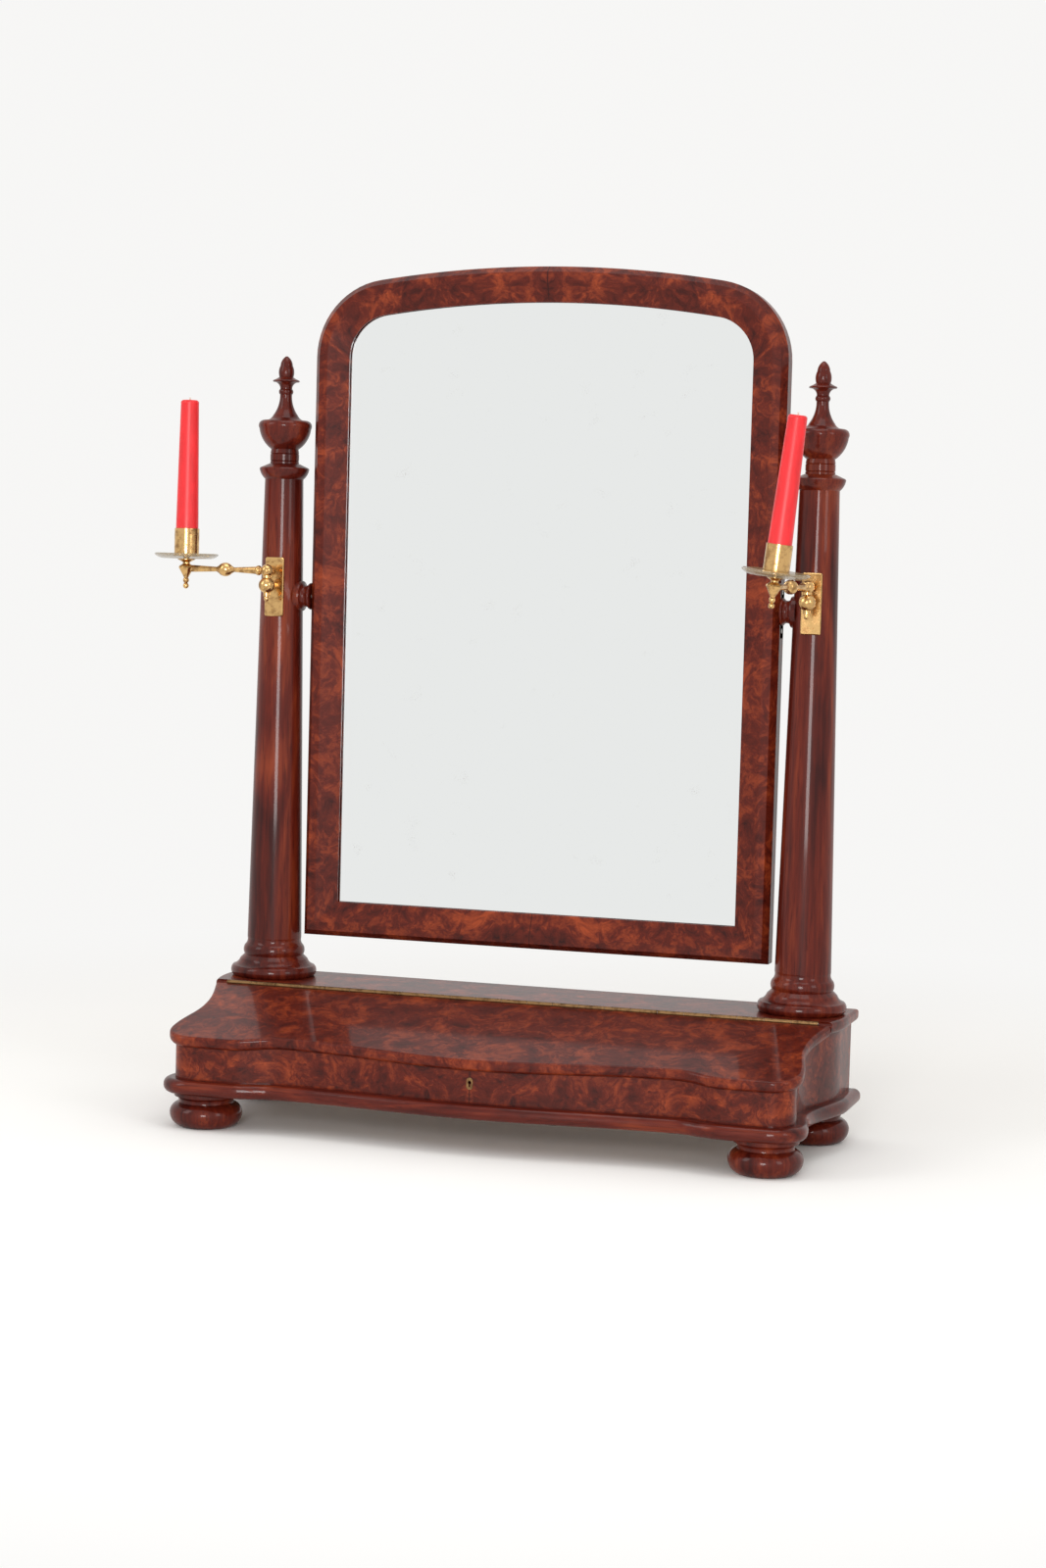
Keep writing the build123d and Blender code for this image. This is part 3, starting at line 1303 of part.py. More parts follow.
def mirror_parts():
    parts = frame_pieces()
    parts["mirror_glass"] = mirror_glass()
    parts["glass_packing"] = glass_packing()
    parts["backboard"] = backboard()
    parts["mirror_screws"] = mirror_screws()
    parts["pivot_plates"] = pivot_plates()
    parts["pivot_pins"] = Compound(children=[pivot_pin(side) for side in (-1, 1)])
    return parts


def side_parts(side, name):
    return {
        f"column_{name}": column(side),
        f"finial_{name}": finial(side),
        f"pivot_boss_{name}": pivot_boss(side),
        f"sconce_plate_{name}": sconce_plate(side),
        f"arm_{name}": arm(side),
        f"swing_pin_{name}": swing_pin(side),
        f"drip_pan_{name}": drip_pan(side),
        f"candle_socket_{name}": candle_socket(side),
        f"candle_{name}": candle(side),
        f"wick_{name}": wick(side),
    }


def main():
    os.makedirs("parts", exist_ok=True)
    parts = box_parts()
    parts.update(lid_parts())
    parts.update(mirror_parts())
    parts.update(side_parts(-1, "left"))
    parts.update(side_parts(1, "right"))
    parts["plate_screws"] = plate_screws()
    for name, shape in parts.items():
        export_step(shape, f"parts/{name}.step")


main()
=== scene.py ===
"""The looks of a table dressing mirror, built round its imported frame.

Every size is in metres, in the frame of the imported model: X to the right, Y to the back and Z up,
with the origin on the floor below the middle of the box.
"""

import logging
import math
from dataclasses import dataclass
from enum import Enum
from typing import Any, Sequence

import bpy
import numpy
from mathutils import Matrix, Vector

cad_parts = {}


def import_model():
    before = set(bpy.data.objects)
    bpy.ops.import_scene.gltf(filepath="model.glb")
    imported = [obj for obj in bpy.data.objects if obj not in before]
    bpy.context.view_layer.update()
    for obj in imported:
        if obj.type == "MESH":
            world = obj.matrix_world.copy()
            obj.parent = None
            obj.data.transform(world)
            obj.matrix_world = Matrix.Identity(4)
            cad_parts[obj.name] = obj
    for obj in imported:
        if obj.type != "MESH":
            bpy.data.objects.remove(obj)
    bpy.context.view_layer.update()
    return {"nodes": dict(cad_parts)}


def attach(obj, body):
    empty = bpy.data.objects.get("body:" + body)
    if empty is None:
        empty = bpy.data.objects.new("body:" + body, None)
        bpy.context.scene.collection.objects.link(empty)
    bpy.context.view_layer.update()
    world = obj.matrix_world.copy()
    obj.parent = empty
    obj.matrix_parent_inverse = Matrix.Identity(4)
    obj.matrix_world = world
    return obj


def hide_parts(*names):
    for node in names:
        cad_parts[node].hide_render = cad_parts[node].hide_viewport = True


LOG = logging.getLogger("dressing_mirror")
MM = 0.001
WELD = 1e-6
SLOT_REACH = 3.0
SLOT_SHARE = 0.28
SHANK_SHARE = 0.5
HEAD_CUTS = 32
SHANK_CUTS = 16
TURNED_CUTS = 96
ARC_STEPS = 14

Colour = tuple[float, float, float]
Point = tuple[float, float, float]


class Body(Enum):
    """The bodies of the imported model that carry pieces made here."""

    BASE = "base"
    LID = "lid"
    MIRROR = "mirror"
    LEFT_ARM = "left_arm"
    RIGHT_ARM = "right_arm"


class Side(Enum):
    """The two sides of the object, seen from the front."""

    LEFT = -1
    RIGHT = 1

    @property
    def word(self) -> str:
        """The side's name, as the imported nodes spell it."""
        return self.name.lower()


class Grain(Enum):
    """Which way the long fibres of a wooden piece run."""

    ALONG_X = (1.0, 0.0, 0.0)
    ALONG_Z = (0.0, 0.0, 1.0)


class Number:
    """A value that varies over a surface or a shape, so that node maths can be written as Python."""

    def __init__(self, tree: "NodeTree", socket: bpy.types.NodeSocket) -> None:
        """Wrap an output socket of a tree."""
        self.tree = tree
        self.socket = socket

    def _maths(self, operation: str, *values: Any) -> "Number":
        """Add a Math node.

        Args:
            operation: the Math node's operation.
            values: its inputs, numbers or Number values, in order.

        Returns:
            The node's result.
        """
        inputs = dict(enumerate(values))
        return self.tree.number(self.tree.node("ShaderNodeMath", {"operation": operation}, inputs))

    def __add__(self, other: Any) -> "Number":
        """self + other."""
        return self._maths("ADD", self, other)

    def __radd__(self, other: Any) -> "Number":
        """other + self."""
        return self._maths("ADD", other, self)

    def __sub__(self, other: Any) -> "Number":
        """self - other."""
        return self._maths("SUBTRACT", self, other)

    def __rsub__(self, other: Any) -> "Number":
        """other - self."""
        return self._maths("SUBTRACT", other, self)

    def __mul__(self, other: Any) -> "Number":
        """self * other."""
        return self._maths("MULTIPLY", self, other)

    def __rmul__(self, other: Any) -> "Number":
        """other * self."""
        return self._maths("MULTIPLY", other, self)

    def __truediv__(self, other: Any) -> "Number":
        """self / other."""
        return self._maths("DIVIDE", self, other)

    def __pow__(self, other: Any) -> "Number":
        """self ** other."""
        return self._maths("POWER", self, other)

    def __abs__(self) -> "Number":
        """abs(self)."""
        return self._maths("ABSOLUTE", self)

    def floored(self) -> "Number":
        """The whole number at or below the value."""
        return self._maths("FLOOR", self)

    def wrapped(self, count: Any) -> "Number":
        """What is left of the value after whole counts."""
        return self - count * (self / count).floored()

    def clamped(self) -> "Number":
        """The value held between 0 and 1."""
        return self._maths("MINIMUM", self._maths("MAXIMUM", self, 0.0), 1.0)

    def ramp(self, low: float, high: float) -> "Number":
        """Rise smoothly from 0 at low to 1 at high.

        Args:
            low: where the result is 0.
            high: where the result is 1.

        Returns:
            The smooth step.
        """
        node = self.tree.node(
            "ShaderNodeMapRange",
            {"interpolation_type": "SMOOTHSTEP"},
            {"Value": self, "From Min": low, "From Max": high},
        )
        return self.tree.number(node)


class NodeTree:
    """A node tree, with one method that adds any node."""

    def __init__(self, tree: bpy.types.NodeTree) -> None:
        """Take over a tree and empty it."""
        self.tree = tree
        self.tree.nodes.clear()

    def node(self, kind: str, settings: dict[str, Any], inputs: dict[Any, Any]) -> bpy.types.Node:
        """Add a node.

        Args:
            kind: the node's Blender type.
            settings: its attributes, set first; "stops" holds a ramp's places and colours.
            inputs: values or links for its sockets, by name or place.

        Returns:
            The new node.
        """
        node = self.tree.nodes.new(kind)
        for key, value in settings.items():
            if key == "stops":
                self._set_stops(node, value)
            else:
                setattr(node, key, value)
        for key, value in inputs.items():
            socket = node.inputs[key]
            if isinstance(value, Number):
                value = value.socket
            if isinstance(value, bpy.types.NodeSocket):
                self.tree.links.new(value, socket)
            else:
                socket.default_value = value
        return node

    @staticmethod
    def _set_stops(node: bpy.types.Node, stops: Sequence[tuple[float, Colour]]) -> None:
        """Give a colour ramp its stops."""
        elements = node.color_ramp.elements
        while len(elements) > 1:
            elements.remove(elements[-1])
        for index, (place, colour) in enumerate(stops):
            element = elements[0] if index == 0 else elements.new(place)
            element.position = place
            element.color = (*colour, 1.0)

    def number(self, node: bpy.types.Node, output: Any = 0) -> Number:
        """One of a node's outputs as a value."""
        return Number(self, node.outputs[output])


class ShapeTree(NodeTree):
    """A Geometry Nodes tree with named inputs, whose result takes one finish at its end."""

    def __init__(self, name: str) -> None:
        """Start a tree with a geometry going in and one coming out."""
        super().__init__(bpy.data.node_groups.new(name, "GeometryNodeTree"))
        for direction in ("INPUT", "OUTPUT"):
            self.tree.interface.new_socket("Geometry", in_out=direction, socket_type="NodeSocketGeometry")
        self.entry = self.node("NodeGroupInput", {}, {})
        self.given = self.entry.outputs["Geometry"]

    def asked(self, name: str, kind: str = "Float") -> Number:
        """Add a named input of a kind and return its value."""
        self.tree.interface.new_socket(name, in_out="INPUT", socket_type=f"NodeSocket{kind}")
        return self.number(self.entry, name)

    def attribute(self, name: str, kind: str) -> Number:
        """A value stored on the points, of kind FLOAT or FLOAT_VECTOR."""
        return self.number(self.node("GeometryNodeInputNamedAttribute", {"data_type": kind}, {"Name": name}))

    def count(self, shape: Any) -> Number:
        """How many points a mesh has."""
        settings = {"component": "MESH"}
        return self.number(self.node("GeometryNodeAttributeDomainSize", settings, {0: shape}), "Point Count")

    def read(self, shape: Any, value: Any, index: Number) -> Number:
        """A vector of one point of another shape.

        Args:
            shape: the geometry that is read.
            value: the field to read there.
            index: which point.

        Returns:
            The vector, for each point of the shape that asks.
        """
        settings = {"data_type": "FLOAT_VECTOR", "domain": "POINT"}
        inputs = {"Geometry": shape, "Value": value, "Index": index}
        return self.number(self.node("GeometryNodeSampleIndex", settings, inputs))

    def added(self, first: Any, second: Any) -> Number:
        """The sum of two vectors."""
        return self.number(self.node("ShaderNodeVectorMath", {"operation": "ADD"}, {0: first, 1: second}))

    def scaled(self, vector: Any, factor: Number) -> Number:
        """A vector made longer or shorter by a factor."""
        inputs = {0: vector, "Scale": factor}
        return self.number(self.node("ShaderNodeVectorMath", {"operation": "SCALE"}, inputs))

    def joined(self, **parts: Any) -> bpy.types.NodeSocket:
        """A vector from the parts x, y and z that are given; the others are 0."""
        inputs = {key.upper(): part for key, part in parts.items()}
        return self.node("ShaderNodeCombineXYZ", {}, inputs).outputs[0]

    def profile(self) -> Any:
        """Ask for the object whose points are the profile, and return its geometry."""
        asked = self.asked("Profile", "Object")
        return self.node("GeometryNodeObjectInfo", {}, {"Object": asked}).outputs["Geometry"]

    def close(self, geometry: Any) -> None:
        """Realise the instances, set the finish and join the tree to its output."""
        finish = self.asked("Finish", "Material")
        real = self.node("GeometryNodeRealizeInstances", {}, {0: geometry})
        inputs = {"Geometry": real.outputs[0], "Material": finish}
        dressed = self.node("GeometryNodeSetMaterial", {}, inputs)
        self.node("NodeGroupOutput", {}, {0: dressed.outputs[0]})

    def grow(self, name: str, places: bpy.types.Mesh, **values: Any) -> bpy.types.Mesh:
        """Run the tree once and keep its result as a plain mesh.

        Args:
            name: the new mesh's name.
            places: the geometry that goes in.
            values: the named inputs, with spaces written as underscores.

        Returns:
            The grown mesh.
        """
        holder = bpy.data.objects.new(name, places)
        bpy.context.scene.collection.objects.link(holder)
        modifier = holder.modifiers.new("shape", "NODES")
        modifier.node_group = self.tree
        for item in self.tree.interface.items_tree:
            key = item.name.replace(" ", "_")
            if item.in_out == "INPUT" and key in values:
                modifier[item.identifier] = values[key]
        graph = bpy.context.evaluated_depsgraph_get()
        grown = bpy.data.meshes.new_from_object(holder.evaluated_get(graph))
        grown.name = name
        holder.modifiers.clear()
        bpy.data.objects.remove(holder)
        return grown


class FinishTree(NodeTree):
    """The node tree of one material."""

    def __init__(self, name: str) -> None:
        """Start an empty tree with a Principled shader joined to the output."""
        self.material = bpy.data.materials.new(name)
        self.material.use_nodes = True
        super().__init__(self.material.node_tree)
        self.shader = self.node("ShaderNodeBsdfPrincipled", {}, {})
        self.output = self.node("ShaderNodeOutputMaterial", {}, {"Surface": self.shader.outputs[0]})

    def place(self) -> bpy.types.NodeSocket:
        """The place on the object, in metres."""
        return self.node("ShaderNodeTexCoord", {}, {}).outputs["Object"]

    def stretched(self, place: bpy.types.NodeSocket, scale: Point) -> bpy.types.NodeSocket:
        """Scale a place along each axis before a pattern reads it."""
        return self.node("ShaderNodeMapping", {}, {"Vector": place, "Scale": scale}).outputs[0]

    def noise(
        self, place: Any, scale: float, detail: float = 3.0, rough: float = 0.5, bend: float = 0.0
    ) -> Number:
        """A cloudy pattern between about 0 and 1.

        Args:
            place: where the pattern is read.
            scale: how many blotches there are in a metre.
            detail: how many finer layers it has.
            rough: how strong the finer layers are.
            bend: how far the pattern is distorted.

        Returns:
            The pattern's value.
        """
        inputs = {"Vector": place, "Scale": scale, "Detail": detail, "Roughness": rough, "Distortion": bend}
        return self.number(self.node("ShaderNodeTexNoise", {}, inputs))

    def warped(self, place: Any, scale: float, strength: float) -> bpy.types.NodeSocket:
        """Push a place about by a cloudy pattern.

        Args:
            place: the place to change.
            scale: how many swirls there are in a metre.
            strength: how far they push, in metres.

        Returns:
            The changed place.
        """
        inputs = {"Vector": place, "Scale": scale, "Detail": 2.0}
        push = self.node("ShaderNodeTexNoise", {}, inputs).outputs["Color"]
        middle = (0.5, 0.5, 0.5)
        centred = self.node("ShaderNodeVectorMath", {"operation": "SUBTRACT"}, {0: push, 1: middle})
        settings = {"operation": "MULTIPLY_ADD"}
        sizes = {0: centred.outputs[0], 1: (strength, strength, strength), 2: place}
        return self.node("ShaderNodeVectorMath", settings, sizes).outputs[0]

    def colours(self, value: Number, stops: Sequence[tuple[float, Colour]]) -> bpy.types.NodeSocket:
        """Turn a value into a colour by a ramp."""
        settings = {"stops": stops}
        return self.node("ShaderNodeValToRGB", settings, {0: value}).outputs[0]

    def mix(self, factor: Any, first: Any, second: Any) -> bpy.types.NodeSocket:
        """Mix two colours.

        Args:
            factor: how much of the second shows.
            first: the colour under it, a socket or three numbers.
            second: the colour over it.

        Returns:
            The mixed colour.
        """
        colours = {
            key: value if isinstance(value, bpy.types.NodeSocket) else (*value, 1.0)
            for key, value in ((6, first), (7, second))
        }
        return self.node("ShaderNodeMix", {"data_type": "RGBA"}, {0: factor, **colours}).outputs[2]

    def bump(self, height: Number, distance: float, strength: float = 1.0) -> bpy.types.NodeSocket:
        """A normal that follows a height, with distance in metres."""
        inputs = {"Height": height, "Distance": distance, "Strength": strength}
        return self.node("ShaderNodeBump", {}, inputs).outputs[0]

    def set(self, **inputs: Any) -> None:
        """Set the Principled shader's sockets, with spaces written as underscores."""
        for key, value in inputs.items():
            socket = self.shader.inputs[key.replace("_", " ")]
            if isinstance(value, Number):
                value = value.socket
            if isinstance(value, bpy.types.NodeSocket):
                self.tree.links.new(value, socket)
            elif isinstance(value, tuple) and len(value) == 3 and socket.type == "RGBA":
                socket.default_value = (*value, 1.0)
            else:
                socket.default_value = value


@dataclass(frozen=True)
class BurrVeneer:
    """French-polished burr veneer: reddish brown, mottled, with dark swirls and small eyes."""

    name: str = "burr_veneer"
    dark: Colour = (0.022, 0.0020, 0.0013)
    body: Colour = (0.088, 0.0095, 0.0040)
    bright: Colour = (0.255, 0.041, 0.0110)
    bookmatch: bool = False
    seam: float = 0.0

    def build(self) -> bpy.types.Material:
        """Make the material."""
        tree = FinishTree(self.name)
        place = tree.place()
        split = tree.node("ShaderNodeSeparateXYZ", {}, {0: place})
        if self.bookmatch:
            across = abs(tree.number(split, 0))
            inputs = {0: across, 1: split.outputs[1], 2: split.outputs[2]}
            place = tree.node("ShaderNodeCombineXYZ", {}, inputs).outputs[0]
        swirl = tree.warped(place, 16.0, 0.045)
        figure = tree.noise(swirl, 32.0, 4.0, 0.58, 0.7)
        curls = tree.noise(tree.warped(swirl, 70.0, 0.014), 115.0, 4.0, 0.6, 0.9)
        eyes = tree.number(tree.node("ShaderNodeTexVoronoi", {}, {"Vector": swirl, "Scale": 150.0}))
        fine = tree.noise(tree.stretched(place, (1.0, 3.0, 3.0)), 420.0, 2.0, 0.6)
        tone = 0.50 * figure + 0.42 * curls + 0.10 * fine
        colour = tree.colours(tone, ((0.36, self.dark), (0.51, self.body), (0.67, self.bright)))
        spots = (1.0 - eyes.ramp(0.05, 0.34)) * curls.ramp(0.45, 0.62) * 0.55
        colour = tree.mix(spots, colour, self.dark)
        if self.seam:
            line = 1.0 - abs(tree.number(split, 0)).ramp(0.0003, self.seam)
            colour = tree.mix(line * 0.75, colour, self.dark)
        tree.set(
            Base_Color=colour,
            Roughness=0.36 + 0.12 * fine,
            Specular_IOR_Level=0.08,
            Normal=tree.bump(fine, 0.00012, 0.25),
            Coat_Weight=0.30,
            Coat_Roughness=0.09,
            Coat_IOR=1.45,
        )
        return tree.material


@dataclass(frozen=True)
class FlamedWood:
    """French-polished turned or straight-grained wood with soft flames along its fibres."""

    name: str = "flamed_wood"
    grain: Grain = Grain.ALONG_Z
    dark: Colour = (0.030, 0.0024, 0.0015)
    body: Colour = (0.092, 0.0095, 0.0040)
    bright: Colour = (0.185, 0.029, 0.0090)

    def build(self) -> bpy.types.Material:
        """Make the material."""
        tree = FinishTree(self.name)
        place = tree.place()
        along = tuple(0.16 if part else 1.0 for part in self.grain.value)
        finely = tuple(0.05 if part else 1.0 for part in self.grain.value)
        flames = tree.noise(tree.warped(tree.stretched(place, along), 20.0, 0.03), 34.0, 3.0, 0.5, 0.7)
        streaks = tree.noise(tree.stretched(place, finely), 260.0, 3.0, 0.55)
        pores = tree.noise(tree.stretched(place, finely), 900.0, 1.0, 0.5)
        tone = 0.66 * flames + 0.30 * streaks
        colour = tree.colours(tone, ((0.34, self.dark), (0.50, self.body), (0.64, self.bright)))
        colour = tree.mix(pores.ramp(0.56, 0.70) * 0.5, colour, self.dark)
        tree.set(
            Base_Color=colour,
            Roughness=0.34 + 0.10 * streaks,
            Specular_IOR_Level=0.08,
            Normal=tree.bump(pores, 0.00008, 0.2),
            Coat_Weight=0.38,
            Coat_Roughness=0.07,
            Coat_IOR=1.45,
        )
        return tree.material


@dataclass(frozen=True)
class PlainWood:
    """Planed secondary wood, unpolished and darkened with age."""

    name: str = "plain_wood"
    grain: Grain = Grain.ALONG_X
    dark: Colour = (0.15, 0.074, 0.031)
    light: Colour = (0.33, 0.178, 0.078)

    def build(self) -> bpy.types.Material:
        """Make the material."""
        tree = FinishTree(self.name)
        place = tree.place()
        along = tuple(0.05 if part else 1.0 for part in self.grain.value)
        rings = tree.noise(tree.warped(tree.stretched(place, along), 9.0, 0.02), 70.0, 3.0, 0.5)
        fibres = tree.noise(tree.stretched(place, along), 700.0, 2.0, 0.6)
        stain = tree.noise(place, 7.0, 3.0, 0.6)
        tone = 0.6 * rings + 0.3 * fibres + 0.2 * stain
        colour = tree.colours(tone, ((0.40, self.dark), (0.66, self.light)))
        tree.set(Base_Color=colour, Roughness=0.62 + 0.16 * fibres, Normal=tree.bump(fibres, 0.0002, 0.4))
        return tree.material


@dataclass(frozen=True)
class PolishedBrass:
    """Brass with soft handling marks and tarnish: polished, or dulled with age."""

    name: str = "polished_brass"
    bright: Colour = (0.66, 0.41, 0.165)
    dull: Colour = (0.20, 0.10, 0.04)
    rough: float = 0.13

    def build(self) -> bpy.types.Material:
        """Make the material."""
        tree = FinishTree(self.name)
        place = tree.place()
        tarnish = tree.noise(tree.warped(place, 90.0, 0.006), 160.0, 4.0, 0.6)
        scratches = tree.noise(tree.stretched(place, (1.0, 1.0, 7.0)), 1400.0, 2.0, 0.6)
        mask = tarnish.ramp(0.44, 0.68)
        colour = tree.mix(mask * 0.75, self.bright, self.dull)
        tree.set(
            Base_Color=colour,
            Metallic=1.0,
            Roughness=(self.rough + 0.22 * mask + 0.05 * scratches).clamped(),
            Normal=tree.bump(scratches, 0.00003, 0.25),
        )
        return tree.material


@dataclass(frozen=True)
class TurnedSteel:
    """Plain turned steel, slightly darkened."""

    name: str = "turned_steel"

    def build(self) -> bpy.types.Material:
        """Make the material."""
        tree = FinishTree(self.name)
        place = tree.place()
        marks = tree.noise(tree.stretched(place, (8.0, 1.0, 1.0)), 600.0, 2.0, 0.6)
        colour = tree.mix(marks.ramp(0.35, 0.7), (0.34, 0.33, 0.31), (0.55, 0.54, 0.52))
        tree.set(
            Base_Color=colour,
            Metallic=1.0,
            Roughness=0.30 + 0.15 * marks,
            Normal=tree.bump(marks, 0.00004, 0.3),
        )
        return tree.material


@dataclass(frozen=True)
class SilveredGlass:
    """The mirror's silvered glass, with a trace of foxing."""

    name: str = "silvered_glass"

    def build(self) -> bpy.types.Material:
        """Make the material."""
        tree = FinishTree(self.name)
        place = tree.place()
        cloud = tree.noise(tree.warped(place, 12.0, 0.03), 38.0, 5.0, 0.62)
        specks = tree.noise(place, 900.0, 1.0, 0.5)
        foxing = cloud.ramp(0.60, 0.78) * specks.ramp(0.50, 0.72) * 0.5
        colour = tree.mix(foxing, (0.86, 0.88, 0.88), (0.40, 0.36, 0.32))
        tree.set(Base_Color=colour, Metallic=1.0, Roughness=(0.012 + 0.10 * foxing).clamped())
        return tree.material


@dataclass(frozen=True)
class ClearGlass:
    """Thin glass of the drip pans: a brown base colour, partly an age tint and partly a painted tint
    standing in for the brass seen through it, with painted darker rims.
    """

    name: str = "clear_glass"

    def build(self) -> bpy.types.Material:
        """Make the material."""
        tree = FinishTree(self.name)
        ripple = tree.noise(tree.place(), 160.0, 2.0, 0.5)
        # Opacity rises where the surface turns away from the eye, so more of the brown shows at the rims:
        # painted rim shade.
        edge = tree.number(tree.node("ShaderNodeLayerWeight", {}, {"Blend": 0.25}), "Facing")
        tree.set(
            # Brown base colour: partly age tint, partly a painted stand-in for the brass seen through the
            # glass.
            Base_Color=(0.30, 0.23, 0.13),
            Roughness=0.03 + 0.05 * ripple,
            Alpha=(0.30 + 0.60 * edge ** 1.2).clamped(),
            Coat_Weight=0.6,
            Coat_Roughness=0.03,
            Normal=tree.bump(ripple, 0.0002, 0.3),
        )
        return tree.material


@dataclass(frozen=True)
class CandleWax:
    """Dyed wax: strong red, slightly translucent, with a soft shine."""

    name: str = "candle_wax"
    red: Colour = (0.74, 0.012, 0.018)
    deep: Colour = (0.60, 0.009, 0.013)

    def build(self) -> bpy.types.Material:
        """Make the material."""
        tree = FinishTree(self.name)
        place = tree.place()
        bloom = tree.noise(tree.stretched(place, (1.0, 1.0, 0.3)), 120.0, 3.0, 0.5)
        colour = tree.mix(bloom.ramp(0.30, 0.75), self.deep, self.red)
        tree.set(
            Base_Color=colour,
            Roughness=0.34 + 0.12 * bloom,
            Subsurface_Weight=0.25,
            Subsurface_Radius=(0.004, 0.0008, 0.0006),
            Subsurface_Scale=1.0,
            Normal=tree.bump(bloom, 0.0002, 0.25),
        )
        return tree.material


@dataclass(frozen=True)
class WovenCloth:
    """A plain cloth: the compartment's lining, or the plaited cotton of a wick."""

    name: str = "woven_cloth"
    light: Colour = (0.22, 0.020, 0.035)
    dark: Colour = (0.10, 0.010, 0.018)
    threads: float = 1100.0

    def build(self) -> bpy.types.Material:
        """Make the material."""
        tree = FinishTree(self.name)
        place = tree.place()
        warp = self._threads(tree, place, "X")
        weft = self._threads(tree, place, "Y")
        weave = 0.5 * warp + 0.5 * weft
        fuzz = tree.noise(place, 1500.0, 2.0, 0.6)
        colour = tree.mix((0.7 * weave + 0.3 * fuzz).clamped(), self.dark, self.light)
        tree.set(Base_Color=colour, Roughness=0.92, Sheen_Weight=0.3, Normal=tree.bump(weave, 0.0003, 0.5))
        return tree.material

    def _threads(self, tree: FinishTree, place: Any, direction: str) -> Number:
        """One set of threads, as stripes across a direction."""
        settings = {"wave_type": "BANDS", "bands_direction": direction}
        inputs = {"Vector": place, "Scale": self.threads, "Distortion": 1.0}
        return tree.number(tree.node("ShaderNodeTexWave", settings, inputs), 1)


@dataclass(frozen=True)
class Finishes:
    """All finishes of the object, made once."""

    frieze: bpy.types.Material
    frame: bpy.types.Material
    burr: bpy.types.Material
    turned: bpy.types.Material
    straight: bpy.types.Material
    plain: bpy.types.Material
    plain_upright: bpy.types.Material
    brass: bpy.types.Material
    aged_brass: bpy.types.Material
    steel: bpy.types.Material
    silver: bpy.types.Material
    glass: bpy.types.Material
    wax: bpy.types.Material
    wick: bpy.types.Material
    lining: bpy.types.Material

    @classmethod
    def make(cls) -> "Finishes":
        """Build every material."""
        return cls(
            frieze=BurrVeneer(name="burr_frieze", bookmatch=True, seam=0.0012).build(),
            frame=BurrVeneer(name="burr_frame", bookmatch=True, seam=0.0008).build(),
            burr=BurrVeneer().build(),
            turned=FlamedWood(name="turned_wood").build(),
            straight=FlamedWood(name="straight_wood", grain=Grain.ALONG_X).build(),
            plain=PlainWood().build(),
            plain_upright=PlainWood(name="plain_wood_upright", grain=Grain.ALONG_Z).build(),
            brass=PolishedBrass().build(),
            aged_brass=PolishedBrass("aged_brass", (0.22, 0.125, 0.055), (0.08, 0.042, 0.02), 0.36).build(),
            steel=TurnedSteel().build(),
            silver=SilveredGlass().build(),
            glass=ClearGlass().build(),
            wax=CandleWax().build(),
            wick=WovenCloth("wick_cotton", (0.80, 0.76, 0.66), (0.52, 0.47, 0.38), 900.0).build(),
            lining=WovenCloth("lining_cloth").build(),
        )


@dataclass
class Dresser:
    """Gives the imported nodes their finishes."""

    nodes: dict[str, bpy.types.Object]
    finishes: Finishes

    def dress(self, finish: bpy.types.Material, *names: str) -> None:
        """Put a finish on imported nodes.

        Args:
            finish: the material.
            names: the nodes that take it.
        """
        for name in names:
            mesh = self.nodes[name].data
            mesh.materials.clear()
            mesh.materials.append(finish)
            LOG.info("dressed %s with %s", name, finish.name)

    def dress_all(self) -> None:
        """Dress every node that stays in view."""
        made = self.finishes
        self.dress(made.frieze, "carcass_front")
        self.dress(made.burr, "carcass_left", "carcass_right", "lid", "rear_board")
        self.dress(made.straight, "moulding_front", "moulding_left", "moulding_right")
        self.dress(made.plain, "bottom_board", "carcass_back", "column_blocks", "partition", "glass_packing")
        self.dress(made.plain_upright, "backboard", "dowels")
        self.dress(made.silver, "mirror_glass")
        self.dress(made.lining, "compartment_lining")
        self.dress(made.steel, "hinge_pin", "pivot_pins")
        self.dress(made.aged_brass, "hinge_leaf_lid", "hinge_leaf_board")
        self.dress(made.aged_brass, "lock_case", "lock_bolt", "strike_plate", "escutcheon")
        self.dress(made.brass, "pivot_plates")
        for side in Side:
            word = side.word
            self.dress(made.turned, f"column_{word}", f"pivot_boss_{word}")
            self.dress(made.brass, f"sconce_plate_{word}", f"arm_{word}", f"swing_pin_{word}")
            self.dress(made.brass, f"candle_socket_{word}")
            self.dress(made.glass, f"drip_pan_{word}")
            self.dress(made.wick, f"wick_{word}")


def turning_tree() -> ShapeTree:
    """Make the tree that turns a profile of radius and height about Z, once at every place."""
    tree = ShapeTree("turned_piece")
    cuts = tree.asked("Cuts", "Int")
    profile = tree.profile()
    columns = cuts + 1
    grid = tree.node("GeometryNodeMeshGrid", {}, {"Vertices X": tree.count(profile), "Vertices Y": columns})
    index = tree.number(tree.node("GeometryNodeInputIndex", {}, {}))
    row = (index / columns).floored()
    place = tree.node("GeometryNodeInputPosition", {}, {}).outputs[0]
    angle = index.wrapped(columns) / cuts * -math.tau
    inputs = {"Vector": tree.read(profile, place, row), "Angle": angle}
    turned = tree.node("ShaderNodeVectorRotate", {"rotation_type": "Z_AXIS"}, inputs).outputs[0]
    shaped = tree.node("GeometryNodeSetPosition", {}, {"Geometry": grid.outputs[0], "Position": turned})
    sealed = tree.node("GeometryNodeMergeByDistance", {}, {"Geometry": shaped.outputs[0], "Distance": WELD})
    inputs = {"Points": tree.given, "Instance": sealed.outputs[0]}
    tree.close(tree.node("GeometryNodeInstanceOnPoints", {}, inputs).outputs[0])
    return tree


